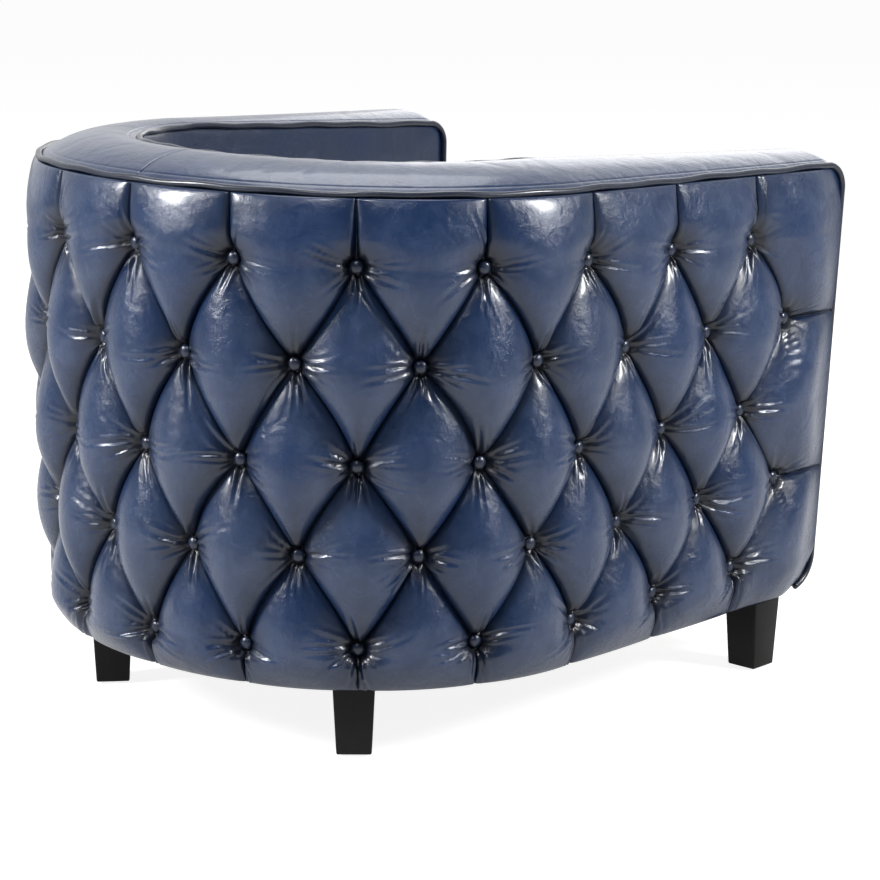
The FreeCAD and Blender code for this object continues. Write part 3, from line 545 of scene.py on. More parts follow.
def hump(share, start, end):
    """Swell over 0 to 1 that leaves each end as its own power"""
    peak = start / (start + end)
    top = peak ** start * (1 - peak) ** end
    share = np.clip(share, 0.0, 1.0)
    return share ** start * (1 - share) ** end / top


tuck = 0.85
plump = 0.58
pleat_rise = 0.27
pleat_groove = 0.0022
groove_width = 0.0014
pleat_spacing = 0.123


def between_pleats(column, row):
    """Shares of the way from one slanted pleat to the next, for both slants"""
    return np.mod(column + (row - 1) / 2, 1.0), np.mod(column - (row - 1) / 2, 1.0)


def pillow_height(column, row):
    """Height share of the leather over whole diamonds: 0 at a button, 1 on a pillow's middle"""
    a, b = between_pleats(column, row)
    valley_a = pleat_rise * np.sin(math.pi * a) ** 0.75
    valley_b = pleat_rise * np.sin(math.pi * b) ** 0.75
    valley = valley_a + valley_b - valley_a * valley_b
    return valley + (1 - valley) * hump(a, tuck, plump) * hump(b, plump, tuck)


def edge_height(column, row):
    """Height share above the top row or below the bottom one, where the pleats stand upright"""
    away = np.clip(np.maximum(1 - row, row - last_row), 0, 1)
    c = np.mod(column, 1.0)
    near = pillow_height(column, np.where(row < 1, 1.0, float(last_row)))
    middle = 1 - 0.66 * away ** 2.4
    pleat = 0.2 * away ** 0.6
    far = pleat + (middle - pleat) * hump(c, 0.4, 0.4)
    return mix(near, far, smooth(away / 0.45))


def leather_height(column, row):
    inside = (row >= 1) & (row <= last_row)
    return np.where(inside, pillow_height(column, np.clip(row, 1, last_row)), edge_height(column, row))


def pleat_distance(column, row):
    """Distance to the nearest pleat, in metres"""
    a, b = between_pleats(column, row)
    c = np.mod(column, 1.0)
    slanted = np.minimum(np.minimum(a, 1 - a), np.minimum(b, 1 - b)) * pleat_spacing
    upright = np.minimum(c, 1 - c) * button_pitch
    return np.where((row >= 1) & (row <= last_row), slanted, upright)


band_steps = 34
front_steps = 28
last_column = 6
pillow_swell = 0.0115
pleat_sink = 0.0045
even_wear = 0.72
rng = np.random.RandomState(11)
cosine = (1 - np.cos(np.pi * np.arange(band_steps + 1) / band_steps)) / 2
front_share = (1 - np.cos(np.pi * np.arange(front_steps + 1) / front_steps)) / 2
rows = np.concatenate([np.linspace(0, 1, 34, endpoint=False), np.linspace(1, last_row, 232, endpoint=False),
                       np.linspace(last_row, last_row + 1, 27)])
opening = half_opening(rows)
interval = np.clip(np.floor(rows), 0, last_row).astype(int)
bulge = np.sin(np.pi * (rows - interval)) * ((rows > 1) & (rows < last_row))
bows = rng.uniform(-0.05, 0.05, (2 * last_column + 1, 2, last_row + 1))


def pleat_line(index, side):
    """Column of the pleat on one side of a whole column's pillows, straight and bowed, down all rows"""
    straight = index + side * opening
    sag = np.where(interval % 2 == 0, side, -side) * -0.02
    bow = bulge * (bows[index + last_column, (side + 1) // 2, interval] + sag)
    return straight, straight + bow


edges = []
for index in range(-last_column, last_column + 1):
    edges.append(pleat_line(index, -1))
    edges.append(pleat_line(index, 1))
columns, placed = [], []
for (left, left_bowed), (right, right_bowed) in zip(edges, edges[1:]):
    for share in cosine[:-1]:
        columns.append(mix(left, right, share))
        placed.append(mix(left_bowed, right_bowed, share))
columns.append(edges[-1][0])
placed.append(edges[-1][1])
columns = np.array(columns).T
placed = np.array(placed).T
row_grid = rows[:, None] + 0 * columns
stations = column_station(placed)
heights = leather_height(columns, row_grid)
gaps = pleat_distance(columns, row_grid)

# The strip between the outermost pleats and the piping down the arm fronts, with its level pleats
strip = []
level_gap = np.minimum(np.abs(rows - 2), np.abs(rows - 4))
level_swell = np.sin(np.pi / 2 * np.clip(level_gap, 0, 1)) ** 0.42
tuck_in = np.clip(np.maximum(1 - rows, rows - last_row), 0, 1)
strip_middle = 0.95 - 0.6 * tuck_in ** 2.4
edge_value = heights[:, -1]
start_station = stations[:, -1]
for share in front_share[1:]:
    station = start_station
    for _ in range(6):
        height_here = panel_height(rows, station)
        station = mix(start_station, front_station(height_here), share)
    rise = np.clip(share / 0.45, 0, 1) ** 0.5
    fall = 1 - 0.62 * smooth((share - 0.5) / 0.5) ** 1.5
    pleat = mix(edge_value, 0.25 * share, smooth(share / 0.3))
    height = pleat + (strip_middle * fall - pleat) * rise * level_swell
    strip.append((station, height, np.minimum(level_gap * 0.12, share * 0.09)))
strip = np.array(strip).transpose(1, 2, 0)
stations, heights, gaps = [np.concatenate([sign * part[:, ::-1], whole, part], axis=1) for sign, whole, part
                           in zip((-1, 1, 1), (stations, heights, gaps), strip)]
row_grid = rows[:, None] + 0 * stations
levels = panel_height(row_grid, stations)

# Small folds that the twine draws in round every button
folds = np.zeros_like(heights)
pit = np.zeros_like(heights)
seats = []
for row in range(1, last_row + 1):
    shift = 0.0 if row % 2 else 0.5
    for column in np.arange(-last_column - shift, last_column + shift + 0.1):
        seats.append((float(column), row))
for column, row in seats:
    centre = float(column_station(np.float64(column)))
    level = float(row_height(np.float64(row), centre))
    near = np.nonzero((np.abs(stations - centre) < 0.085) & (np.abs(levels - level) < 0.07))
    across = stations[near] - centre
    up = levels[near] - level
    reach = np.hypot(across, up)
    heights[near] *= smooth((reach - 0.0065) / 0.009)
    # Mask of the dark halo round each button: painted shade, with the wax patina gathered there
    pit[near] = np.maximum(pit[near], np.exp(-(reach / 0.024) ** 2))
    plans = [(rng.uniform(-0.7, 0.7), way) for way in (0.0, math.pi) for _ in range(4)]
    plans += [(rng.uniform(-0.35, 0.35), -math.pi / 2) for _ in range(3)]
    plans += [(rng.uniform(-0.4, 0.4), math.pi / 2)]
    for lean, way in plans:
        angle = way + lean
        length = rng.uniform(0.035, 0.085)
        wave = rng.uniform(0.0075, 0.0135)
        deep = rng.uniform(0.001, 0.0032)
        curve = rng.uniform(-5.0, 5.0)
        along = across * math.cos(angle) + up * math.sin(angle)
        beside = up * math.cos(angle) - across * math.sin(angle) + curve * along * along
        fade = smooth((along - 0.006) / 0.008) * (1 - smooth((along - 0.35 * length) / (0.65 * length)))
        ridge = np.exp(-(beside / (0.62 * wave)) ** 2) * np.cos(2 * np.pi * beside / wave)
        folds[near] -= deep * ridge * fade
sagging = pillow_swell * heights ** 3 * np.sin(np.pi * np.clip(levels / rim_middle, 0, 1))
sinking = pleat_sink * (1 - smooth(heights / 0.5))
groove = pleat_groove * np.exp(-gaps / groove_width) * (heights > 0.02)
body = tuft_depth * heights - sinking + sagging - groove + folds * (gaps > 0.0004)
offsets = wall_offset(levels, pit_offset_top, pit_offset_bottom) + body
x, y = plan(stations, offsets)
skin = np.stack([x, y, levels], axis=-1)
low_x, low_y = plan(stations[-1], pad_back_bottom)
high_x, high_y = plan(stations[0], pad_back_top)
back_low = np.stack([low_x, low_y, levels[-1]], axis=-1)
back_high = np.stack([high_x, high_y, levels[0]], axis=-1)
skin = np.concatenate([skin, back_low[None], back_high[None], skin[:1]], axis=0)


def waxed_hide(name, patina_and_painted_light=None, lift=0.0, dull=0.0):
    """Antiqued navy hide: wax rubbed dark into the hollows and polished paler on what stands proud, with
    painted shade in the hollows and a painted highlight on what stands proud where an attribute is given
    """
    finish = Finish(name)
    place = finish.place()
    clouds = finish.noise(place, 7.5, 4.0, 0.6, 0.3)
    blotches = finish.noise(place, 30.0, 5.0, 0.65, 0.6)
    pores = finish.cells(place, 700.0)
    creases = finish.noise(finish.stretched(place, (1.0, 1.0, 1.5)), 80.0, 5.0, 0.7, 1.4)
    # The attribute brings painted shade and a painted highlight along with the patina; without it the level
    # is even
    share = finish.attribute(patina_and_painted_light) if patina_and_painted_light else even_wear
    share = (share * (0.55 + clouds * 0.45 + blotches * 0.35) + lift).clamped()
    hue = ((clouds - 0.4) * 3.0).clamped()
    navy = finish.blend(hue, (0.003, 0.021, 0.076, 1.0), (0.014, 0.026, 0.058, 1.0))
    # Near black where the share is low: painted shade together with wax in the hollows
    deep = finish.blend(share, (0.0008, 0.0014, 0.004, 1.0), navy)
    # Paler blue where the share runs high: polished patches, and on the buttoned skin also a painted
    # highlight on the pillow tops
    colour = finish.blend(((share - 0.72) * 2.2).clamped() * blotches, deep, (0.055, 0.08, 0.15, 1.0))
    rough = 0.2 + dull + blotches * 0.12 + (1 - share) * 0.12
    lumps = finish.noise(place, 38.0, 2.0, 0.5, 0.8)
    height = pores.clamped(0.0, 0.25) * 0.16 + creases * 0.24 + lumps
    return finish.surface(Base_Color=colour, Roughness=rough, Normal=finish.relief(height, 0.0015),
                          Coat_Weight=0.4, Coat_Roughness=0.15, Specular_IOR_Level=0.4)


# Darker along every pleat line: painted shade in the pleats, with some wax patina in the creases
valley = 1 - 0.55 * np.exp(-gaps / 0.0015) - 0.15 * np.exp(-gaps / 0.01)
# Attribute for the hide: painted shade at the pleats, round the buttons and low on each pillow, and lighter
# on the pillow tops as a painted highlight, over the real patina; the two back rows are set to zero
patina_and_painted_light = np.clip(valley, 0, 1) * (1 - np.clip(1.1 * pit, 0, 1)) * (0.7 + 0.3 * smooth(heights))
patina_and_painted_light = np.concatenate([patina_and_painted_light, 0 * patina_and_painted_light[:2], patina_and_painted_light[:1]], axis=0)
skin_piece = laid_grid("buttoned_leather", skin, {"patina_and_painted_light": patina_and_painted_light})
dress(skin_piece, waxed_hide("buttoned_hide", "patina_and_painted_light"))
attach(skin_piece, "chair")
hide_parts("tufted_back", "tufted_arm_left", "tufted_arm_right")


# Buttons
# Shells covered in the same hide, on loops of twine that pull them and the leather down to the frame.
button_rise = 0.0052
button_sink = 0.0014
last_on_back = 4.2
covered = waxed_hide("button_hide", lift=-0.3)
groups = {"buttons_back": [], "buttons_arm_left": [], "buttons_arm_right": []}
for column, row in seats:
    centre = column_station(np.float64(column))
    level = row_height(np.float64(row), centre)
    places = []
    for along, up in ((0.0, 0.0), (0.001, 0.0), (0.0, 0.001)):
        x, y = plan(centre + along, wall_offset(level + up, pit_offset_top, pit_offset_bottom))
        places.append(Vector((float(x), float(y), float(level + up))))
    normal = (places[1] - places[0]).cross(places[2] - places[0]).normalized()
    if normal.dot(Vector((places[0].x, places[0].y, 0.0))) < 0:
        normal = -normal
    deselect()
    bpy.ops.mesh.primitive_uv_sphere_add(segments=20, ring_count=10, radius=1.0)
    button = bpy.context.object
    button.scale = (button_radius, button_radius, button_rise)
    button.rotation_mode = "QUATERNION"
    button.rotation_quaternion = normal.to_track_quat("Z", "Y")
    button.location = places[0] - normal * button_sink
    side = "back" if abs(column) < last_on_back else ("arm_left" if column > 0 else "arm_right")
    groups["buttons_" + side].append(button)
for name, pieces in groups.items():
    whole = join_pieces(pieces, "covered_" + name)
    bpy.ops.object.shade_smooth()
    dress(whole, covered)
    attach(whole, "chair")
    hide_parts(name)


# Lining
# Plain hide over thin wadding on the inside of the back and arms, tacked under the inner piping and down
# behind the seat, with a seam where each arm meets the back.
lining_face = -0.122
lining_back = -0.0983
platform_top = 0.2518
inner_rise = 0.021
lining_swell = 0.0028


def inner_top(station):
    u = np.abs(station) - arm_start
    rise = inner_rise * np.clip(1 - u / corner_u, 0, 1)
    return panel_top(station) + rise


reach = np.linspace(-1, 1, 361)
climb = np.concatenate([np.linspace(0, 0.9, 30, endpoint=False),
                        0.9 + 0.1 * np.sin(np.linspace(0, np.pi / 2, 14))])
level = platform_top + 0.3 * climb[:, None] + 0 * reach
for _ in range(6):
    station = reach * front_station(level)
    level = mix(platform_top, inner_top(station), climb[:, None])
seam_gap = np.abs(np.abs(station) - arm_start)
to_edge = np.minimum(inner_top(station) - level, (1 - np.abs(reach)) * arm_start)
face = lining_face - lining_swell * smooth(to_edge / 0.05) + 0.0025 * np.exp(-to_edge / 0.003)
face = face + 0.0022 * np.exp(-seam_gap / 0.0016)
back = lining_back + 0 * face
layers = [np.stack([*plan(station, offset), level], axis=-1) for offset in (face, back)]
shell = np.concatenate([layers[0], layers[1][::-1], layers[0][:1]], axis=0)
lining = laid_grid("inside_leather", shell)
dress(lining, waxed_hide("plain_hide", dull=0.08))
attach(lining, "chair")
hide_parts("lining_back", "lining_arm_left", "lining_arm_right")


# Cap
# A padded band of hide over the whole rim, which rounds the corner of each arm, runs down its front and
# curls under. It is cut in two, seamed at the middle of the back, with a stitched fold beside each piping.
lining_inner = -0.122
outer_low = float(wall_offset(curl_height, pit_offset_top, pit_offset_bottom))
cap_crown = 0.015
cap_crown_low = 0.003
cap_floor = -0.014
edge_gap = 0.0043
fold_away = 0.0088
curl_angle = math.radians(78.0)
band_width = 0.1134
cap_lap = 0.0042
inner_turn = 0.02
outer_turn = 0.004


def band_path():
    """Stations down the band: forward, rise, way up and share of the drop"""
    path = []
    level_run = np.linspace(0.007, arm_start + corner_u, 230)
    for station in np.concatenate([[0.0, 0.0012, 0.0025, 0.004], level_run]):
        path.append((station - arm_start, 0.0, 0.0, 0.0))
    for angle in np.linspace(0, turn_angle, 22)[1:]:
        path.append((corner_u + cap_corner_radius * math.sin(angle),
                     cap_corner_radius * (math.cos(angle) - 1), angle, 0.0))
    for share in np.linspace(0, 1, 90)[1:]:
        path.append((mix(corner_end_u, front_end_u, share), mix(corner_end_w, front_end_w, share),
                     turn_angle, share))
    for angle in np.linspace(turn_angle, turn_angle + curl_angle, 20)[1:]:
        path.append((front_end_u + curl_radius * (math.sin(angle) - math.sin(turn_angle)),
                     front_end_w + curl_radius * (math.cos(angle) - math.cos(turn_angle)), angle, 1.0))
    return np.array(path)


def on_band(path, offset, up):
    """Points of the left half of the band, at an offset and a height above its line"""
    u, w, way = path[:, 0:1], path[:, 1:2], path[:, 2:3]
    x, y = plan(arm_start + u + up * np.sin(way), offset)
    return tilted(x, y, rim_middle + w + up * np.cos(way))


def band_rise(path):
    return inner_rise * np.clip(1 - np.maximum(path[:, 0:1], 0) / corner_u, 0, 1)


def outer_line(path):
    return mix(pit_offset_top, outer_low, path[:, 3:4])


near_edge = [0.0, 0.0008, 0.002, 0.0038, 0.0058, 0.0072, 0.0081, 0.0088, 0.0095, 0.0104, 0.0118, 0.014, 0.018]
far_edge = [band_width - away for away in near_edge[::-1]]
across_band = np.array([*near_edge, *np.linspace(0.024, band_width - 0.024, 26), *far_edge])
path = band_path()
share = across_band[None, :] / band_width
outer_edge = outer_line(path) - edge_gap
inner_edge = lining_inner + edge_gap
crown = mix(cap_crown, cap_crown_low, path[:, 3:4])
rise = band_rise(path)
edge_away = np.minimum(across_band, band_width - across_band)[None, :]
up = 0.0005 + rise * share + crown * (1 - np.abs(2 * share - 1) ** 2.3)
up = up - 0.001 * np.exp(-((edge_away - fold_away) / 0.0009) ** 2)
up = up + 0.0006 * np.exp(-((edge_away - 0.0055) / 0.003) ** 2)
path_step = np.hypot(np.diff(path[:, 0], prepend=path[0, 0]), np.diff(path[:, 1], prepend=0.0))
run_length = np.cumsum(path_step)[:, None]
cap_rng = np.random.RandomState(5)
for _ in range(46):
    middle = cap_rng.uniform(0.02, run_length.max() - 0.1)
    side = cap_rng.uniform(0.02, 0.095)
    lean = cap_rng.uniform(0.5, 1.3) * cap_rng.choice([-1, 1])
    there = (run_length - middle) * math.cos(lean) + (across_band - side) * math.sin(lean)
    beside = (across_band - side) * math.cos(lean) - (run_length - middle) * math.sin(lean)
    wave = cap_rng.uniform(0.004, 0.008)
    fade = np.exp(-(there / cap_rng.uniform(0.015, 0.04)) ** 2) * smooth(edge_away / 0.02)
    up = up - cap_rng.uniform(0.0002, 0.0006) * np.exp(-(beside / wave) ** 2) * fade
up = up - 0.0022 * np.exp(-(run_length / 0.0016)) - 0.0006 * np.exp(-((run_length - 0.007) / 0.0012) ** 2)
offset = mix(outer_edge, inner_edge, share)
flush = np.zeros_like(rise)
underside = ((flush + inner_edge, rise - cap_lap), (flush + inner_edge + inner_turn, rise - cap_lap),
             (flush + inner_edge + inner_turn, flush + cap_floor),
             (outer_edge - outer_turn, flush + cap_floor), (outer_edge - outer_turn, flush - cap_lap),
             (outer_edge, flush - cap_lap))
ring_offset = np.concatenate([offset, *[place for place, _ in underside], offset[:, :1]], axis=1)
ring_up = np.concatenate([up, *[height for _, height in underside], up[:, :1]], axis=1)
cap_hide = waxed_hide("cap_hide", lift=0.06)
for side, flip in (("left", 1.0), ("right", -1.0)):
    points = on_band(path, ring_offset, ring_up) * np.array([flip, 1.0, 1.0])
    cap = laid_grid("cap_leather_" + side, points)
    dress(cap, cap_hide)
    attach(cap, "chair")
    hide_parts("cap_" + side)


# Piping
# Cord sewn into bias-cut hide, which runs along both edges of the cap from one arm's foot round to the other.
piping_turns = 14


def dark_hide():
    """The piping's own hide, nearly black where the wax has gathered"""
    finish = Finish("piping_hide")
    place = finish.place()
    rubs = finish.noise(place, 60.0, 4.0, 0.65, 0.5)
    colour = finish.blend(rubs, (0.0022, 0.0035, 0.008, 1.0), (0.014, 0.022, 0.045, 1.0))
    return finish.surface(Base_Color=colour, Roughness=0.26 + rubs * 0.16, Normal=finish.relief(rubs, 0.0006),
                          Coat_Weight=0.25, Coat_Roughness=0.15)


welt = dark_hide()
angles = np.linspace(0, 2 * np.pi, piping_turns + 1)
flat = np.zeros((len(path), 1))
lines = (("outer_piping", outer_line(path), flat), ("inner_piping", flat + lining_inner, band_rise(path)))
for name, line, lifted in lines:
    flutter = 0.0007 * np.sin(path[:, 0:1] * 61.0) + 0.0005 * np.sin(path[:, 0:1] * 27.0 + 1.0)
    flutter = flutter * smooth((path[:, 1:2] + 0.0002) / 0.0001)
    left = on_band(path, line + piping_radius * np.cos(angles),
                   lifted + piping_radius * np.sin(angles) + flutter)
    right = left[1:][::-1] * np.array([-1.0, 1.0, 1.0])
    cord = laid_grid("sewn_" + name, np.concatenate([right, left], axis=0))
    dress(cord, welt)
    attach(cord, "chair")
    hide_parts(name)


# Deck pad and front border
# A firm wadded deck under black cloth over the webbing, and a plain padded border of hide down the
# chair's front between the arms, tacked to a thin board.
deck_low = 0.2518
deck_top = 0.2818
deck_rounding = 0.004
border_face = -0.4248
border_crown = 0.0055


def outline(offset, front, corner, samples=40):
    """Closed plan of what stands inside the arms: round the back, along the arms and across the front"""
    turn = arm_start + (arm_y - front - corner) / math.cos(arm_splay)
    half = [np.array(plan(value, offset)) for value in np.linspace(0, arm_start, 3 * samples, endpoint=False)]
    half += [np.array(plan(value, offset)) for value in np.linspace(arm_start, turn, samples, endpoint=False)]
    centre = np.array(plan(turn, offset - corner))
    for angle in np.linspace(side_angle, math.pi, 14):
        half.append(centre + corner * np.array([math.sin(angle), math.cos(angle)]))
    edge = half[-1][0]
    half += [np.array([x, front]) for x in np.linspace(edge, 0, samples)[1:]]
    half = np.array(half)
    other = half[1:-1][::-1] * np.array([-1.0, 1.0])
    ring = np.concatenate([half, other])
    return np.concatenate([ring, ring[:1]])


def stuffed(name, ring, profile, ripple=None):
    """Closed pad from an outline and rows of (share of the outline, height)"""
    middle = np.array([0.0, (ring[:, 1].min() + ring[:, 1].max()) / 2])
    rows = []
    for share, height in profile:
        flat = middle + (ring - middle) * share
        rows.append(np.concatenate([flat, np.full((len(ring), 1), height)], axis=1))
    points = np.array(rows)
    if ripple is not None:
        points = ripple(points)
    return laid_grid(name, points, merged=1e-5)


def dome(crown, steps):
    """Shares and rises of a pad's top, from its edge to its middle"""
    shares = 1 - np.linspace(0, 1, steps) ** 1.7
    return [(share, crown * (1 - share ** 8.0) ** 0.6) for share in shares]


wadding = Finish("wadding")
fluff = wadding.noise(wadding.place(), 90.0, 5.0, 0.7)
wool = wadding.blend(fluff, (0.62, 0.59, 0.5, 1.0), (0.8, 0.77, 0.68, 1.0))
wadding_material = wadding.surface(Base_Color=wool, Roughness=0.95, Normal=wadding.relief(fluff, 0.0015))
platform_cloth = woven("platform_cloth", 500.0, 600.0, (0.045, 0.045, 0.05, 1.0), (0.02, 0.02, 0.022, 1.0))
deck_ring = outline(-0.1224, -0.4127, 0.006)
profile = [(0.0, deck_low), (0.6, deck_low), (0.99, deck_low), (1.0, deck_low + deck_rounding)]
profile += [(1.0, deck_top - deck_rounding), (0.996, deck_top - 0.001)]
profile += [(share, deck_top) for share in (0.98, 0.5, 0.0)]
deck = stuffed("wadded_deck", deck_ring, profile)
dress(deck, platform_cloth)
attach(deck, "chair")
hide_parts("deck_pad")

low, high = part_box("front_border")
across = np.sin(np.linspace(-np.pi / 2, np.pi / 2, 121)) * high.x
height = mix(low.z, high.z, (1 - np.cos(np.linspace(0, np.pi, 41))) / 2)[:, None] + 0 * across
edge = np.minimum(high.x - np.abs(across)[None, :], np.minimum(height - low.z, high.z - height))
front = border_face - border_crown * np.sin(np.pi * (height - low.z) / (high.z - low.z))
front = front + 0.006 * np.exp(-edge / 0.004)
sheet = np.stack([across + 0 * height, front, height], axis=-1)
behind = np.stack([across + 0 * height, 0 * front + high.y, height], axis=-1)
border = laid_grid("border_leather", np.concatenate([sheet, behind[::-1], sheet[:1]], axis=0))
dress(border, waxed_hide("border_hide", dull=0.08))
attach(border, "chair")
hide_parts("front_border")


# Seat cushion
# Loose block of foam in a hide cover: a band of boxing between two panels, piped on both seams, with the
# top panel crowned and gathered a little where it meets the piping.
cushion_low = 0.2821
low_seam = 0.2961
high_seam = 0.4081
cushion_crown = 0.024
core_base = 0.2931
cushion_ring = outline(-0.134, -0.427, 0.055, 60)
cushion_rng = np.random.RandomState(3)
ring_step = np.hypot(*np.diff(cushion_ring, axis=0).T)
ring_run = np.concatenate([[0.0], np.cumsum(ring_step)])
gathers = [(cushion_rng.uniform(0.02, ring_run[-1] - 0.02), cushion_rng.uniform(0.004, 0.009),
            cushion_rng.uniform(0.0008, 0.0026), cushion_rng.uniform(0.012, 0.04)) for _ in range(150)]
sag_ranges = ((-0.2, 0.2), (-0.36, 0.22), (0.0, np.pi), (0.05, 0.12), (0.008, 0.022), (-0.0022, 0.0016))
sags = [[cushion_rng.uniform(least, most) for least, most in sag_ranges] for _ in range(34)]


def gathered(points):
    """Small gathers that run off both seams into the panels and the boxing"""
    dip = np.zeros(points.shape[:2])
    for place, wide, deep, far in gathers:
        for seam in (low_seam, high_seam):
            inward = np.hypot(points[..., 2] - seam,
                              np.linalg.norm(points[..., :2] - cushion_ring[None], axis=2))
            dip += deep * np.exp(-((ring_run[None] - place) / wide) ** 2) * np.exp(-inward / far)
    middle = np.array([0.0, (cushion_ring[:, 1].min() + cushion_ring[:, 1].max()) / 2])
    away = points[..., :2] - middle
    reach = np.maximum(np.linalg.norm(away, axis=2, keepdims=True), 0.05)
    moved = points.copy()
    moved[..., :2] -= away / reach * dip[..., None]
    top = points[..., 2] > high_seam + 0.001
    moved[..., 2] -= np.where(top, 0.7 * dip, 0.0)
    for x, y, lean, far, wide, rise in sags:
        along = (points[..., 0] - x) * math.cos(lean) + (points[..., 1] - y) * math.sin(lean)
        beside = (points[..., 1] - y) * math.cos(lean) - (points[..., 0] - x) * math.sin(lean)
        moved[..., 2] += np.where(top, rise * np.exp(-(along / far) ** 2 - (beside / wide) ** 2), 0.0)
    return moved


def drawn_in(value):
    """Share of the outline at a share of the boxing's height, drawn in a little at both seams"""
    return 1 - 0.0035 * math.sin(math.pi * value) ** 1.5 - 0.003 * math.exp(-min(value, 1 - value) / 0.03)


profile = [(share, cushion_low + 0.014 * (share / 0.99) ** 14) for share in np.linspace(0, 0.99, 16)]
profile += [(drawn_in(value), mix(low_seam, high_seam, value)) for value in np.linspace(0, 1, 26)]
profile += [(share * 0.997, high_seam + rise) for share, rise in dome(cushion_crown, 34)[1:]]
cushion = stuffed("cushion_leather", cushion_ring, profile, gathered)
dress(cushion, waxed_hide("cushion_hide", dull=0.12))
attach(cushion, "seat_cushion")
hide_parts("cushion_cover")

core_steps = ((0.0, -0.008), (0.9, -0.008), (0.985, 0.004), (0.99, 0.11), (0.95, 0.125), (0.8, 0.131),
              (0.0, 0.135))
core_profile = [(share * 0.985, core_base + rise) for share, rise in core_steps]
core = stuffed("cushion_foam", cushion_ring, core_profile)
dress(core, wadding_material)
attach(core, "seat_cushion")
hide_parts("cushion_core")

cord_radius = 0.0035
piped_ring = outline(-0.1302, -0.4308, 0.0588, 60)
tangent = np.roll(piped_ring[:-1], -1, axis=0) - np.roll(piped_ring[:-1], 1, axis=0)
tangent = tangent / np.linalg.norm(tangent, axis=1, keepdims=True)
out = np.stack([-tangent[:, 1], tangent[:, 0]], axis=1)
for name, seam in (("cushion_piping_bottom", low_seam), ("cushion_piping_top", high_seam)):
    round_cord = []
    for angle in angles:
        flat = piped_ring[:-1] + out * cord_radius * math.cos(angle)
        level = np.full((len(flat), 1), seam + cord_radius * math.sin(angle))
        around = np.concatenate([flat, level], axis=1)
        round_cord.append(np.concatenate([around, around[:1]]))
    cord = laid_grid("sewn_" + name, np.array(round_cord))
    dress(cord, welt)
    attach(cord, "seat_cushion")
    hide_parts(name)


# Dust cover
# Thin black cloth drawn tight under the frame and tacked all round, cut out where the legs pass it.
cover_top = 0.09595
cover_thickness = 0.0008
cover_gap = 0.0006
cover_ring = outline(-0.036, -0.383, 0.004)
x, y = cover_ring[:, 0], cover_ring[:, 1]
cover_area = abs(float(np.sum(x[:-1] * y[1:] - x[1:] * y[:-1]))) / 2
shares = np.linspace(0, 1, 24)
profile = [(share, cover_top - cover_thickness) for share in shares]
profile += [(share, cover_top) for share in shares[::-1]]
cover = stuffed("dust_cloth", cover_ring, profile)
for leg_x, leg_y, width, turned in leg_tops:
    deselect()
    bpy.ops.mesh.primitive_cube_add(size=1.0, location=(leg_x, leg_y, cover_top), rotation=(0.0, 0.0, turned))
    opening = bpy.context.object
    opening.scale = (width + cover_gap, width + cover_gap, 0.02)
    cut = cover.modifiers.new("opening", "BOOLEAN")
    cut.operation = "DIFFERENCE"
    cut.solver = "EXACT"
    cut.object = opening
    bpy.context.view_layer.objects.active = cover
    bpy.ops.object.modifier_apply(modifier=cut.name)
    bpy.data.objects.remove(opening)
    cover_area -= (width + cover_gap) ** 2
deselect()
cover.select_set(True)
bpy.ops.object.shade_smooth_by_angle(angle=math.radians(50))
dress(cover, woven("cover_cloth", 700.0, 900.0, (0.03, 0.03, 0.03, 1.0), (0.012, 0.012, 0.012, 1.0)))
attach(cover, "chair")
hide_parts("dust_cover")


# Floor, light and camera
# A plain white floor and surroundings, five soft lamps, and the camera behind the chair's right side.
camera_place = Vector((-2.5374, 2.7289, 1.1429))
camera_turn = -0.8417
camera_dip = 0.2202
camera_roll = 0.0043
lens_pixels = 2902.5
picture_pixels = 880
sensor_width = 36.0

ahead = Vector((math.cos(camera_dip) * math.cos(camera_turn), math.cos(camera_dip) * math.sin(camera_turn),
                -math.sin(camera_dip)))
level_right = ahead.cross(Vector((0.0, 0.0, 1.0))).normalized()
level_up = level_right.cross(ahead)
right = level_right * math.cos(camera_roll) + level_up * math.sin(camera_roll)
up = level_up * math.cos(camera_roll) - level_right * math.sin(camera_roll)
turned = Matrix((right, up, -ahead)).transposed().to_4x4()
bpy.ops.object.camera_add()
camera = bpy.context.object
camera.name = "camera"
camera.matrix_world = Matrix.Translation(camera_place) @ turned
camera.data.sensor_width = sensor_width
camera.data.lens = sensor_width * lens_pixels / picture_pixels
camera.data.clip_end = 50.0
bpy.context.scene.camera = camera


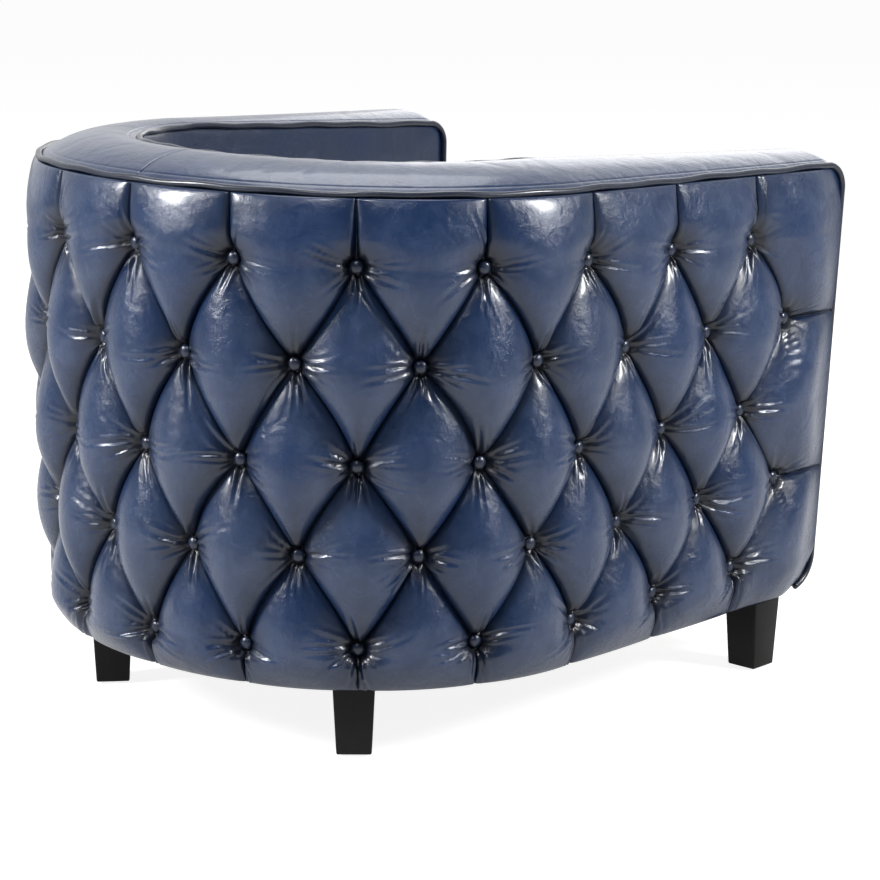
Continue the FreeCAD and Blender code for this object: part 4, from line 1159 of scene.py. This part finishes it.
floor_finish = Finish("studio_white")
rays = floor_finish.tree.nodes.new("ShaderNodeLightPath")
seen = Wire(rays.outputs["Is Camera Ray"]) + Wire(rays.outputs["Is Glossy Ray"]) * 0.4
seen = (seen + Wire(rays.outputs["Is Transmission Ray"])).clamped()
glow = floor_finish.blend(seen, (0.0, 0.0, 0.0, 1.0), (1.0, 1.0, 1.0, 1.0))
floor_finish.surface(Base_Color=(0.42, 0.42, 0.42, 1.0), Roughness=0.9, Emission_Color=glow,
                     Emission_Strength=0.88, Specular_IOR_Level=0.0)
deselect()
bpy.ops.mesh.primitive_plane_add(size=30.0)
floor = bpy.context.object
floor.name = "floor"
dress(floor, floor_finish.material)

world = bpy.data.worlds.new("studio")
bpy.context.scene.world = world
world.use_nodes = True
sky = world.node_tree
sky_rays = sky.nodes.new("ShaderNodeLightPath")
toward = sky.nodes.new("ShaderNodeVectorMath")
toward.operation = "DOT_PRODUCT"
toward.inputs[1].default_value = (ahead.x, ahead.y, 0.0)
sky.links.new(sky.nodes.new("ShaderNodeTexCoord").outputs["Generated"], toward.inputs[0])
backdrop = (Wire(toward.outputs["Value"]) * 1.6 - 0.1).clamped()
seen = Wire(sky_rays.outputs["Is Camera Ray"]) + Wire(sky_rays.outputs["Is Glossy Ray"]) * backdrop
seen = (seen + Wire(sky_rays.outputs["Is Transmission Ray"])).clamped()
plug(sky, 0.2 + seen * 0.8 - Wire(sky_rays.outputs["Is Glossy Ray"]) * (1 - backdrop) * 0.12,
     sky.nodes["Background"].inputs["Strength"])
sky.nodes["Background"].inputs["Color"].default_value = (1.0, 1.0, 1.0, 1.0)


def soft_lamp(name, place, aim, width, height, power):
    bpy.ops.object.light_add(type="AREA", location=place)
    lamp = bpy.context.object
    lamp.name = name
    lamp.data.shape = "RECTANGLE"
    lamp.data.size = width
    lamp.data.size_y = height
    lamp.data.energy = power
    lamp.rotation_mode = "QUATERNION"
    lamp.rotation_quaternion = (Vector(aim) - Vector(place)).to_track_quat("-Z", "Y")


soft_lamp("left_lamp", (1.5, 2.8, 2.1), (0.0, 0.2, 0.45), 0.6, 0.9, 150.0)
soft_lamp("right_lamp", (-2.9, -1.1, 2.1), (-0.2, 0.0, 0.45), 0.6, 0.9, 125.0)
soft_lamp("front_lamp", (-1.1, 1.9, 3.0), (-0.2, 0.2, 0.4), 0.4, 0.5, 42.0)
soft_lamp("top_lamp", (0.5, -0.5, 3.0), (0.0, 0.0, 0.4), 1.8, 1.8, 45.0)
soft_lamp("rear_lamp", (0.9, -3.1, 1.5), (0.0, 0.0, 0.6), 3.2, 1.4, 21.0)

bpy.context.scene.view_settings.view_transform = "Standard"
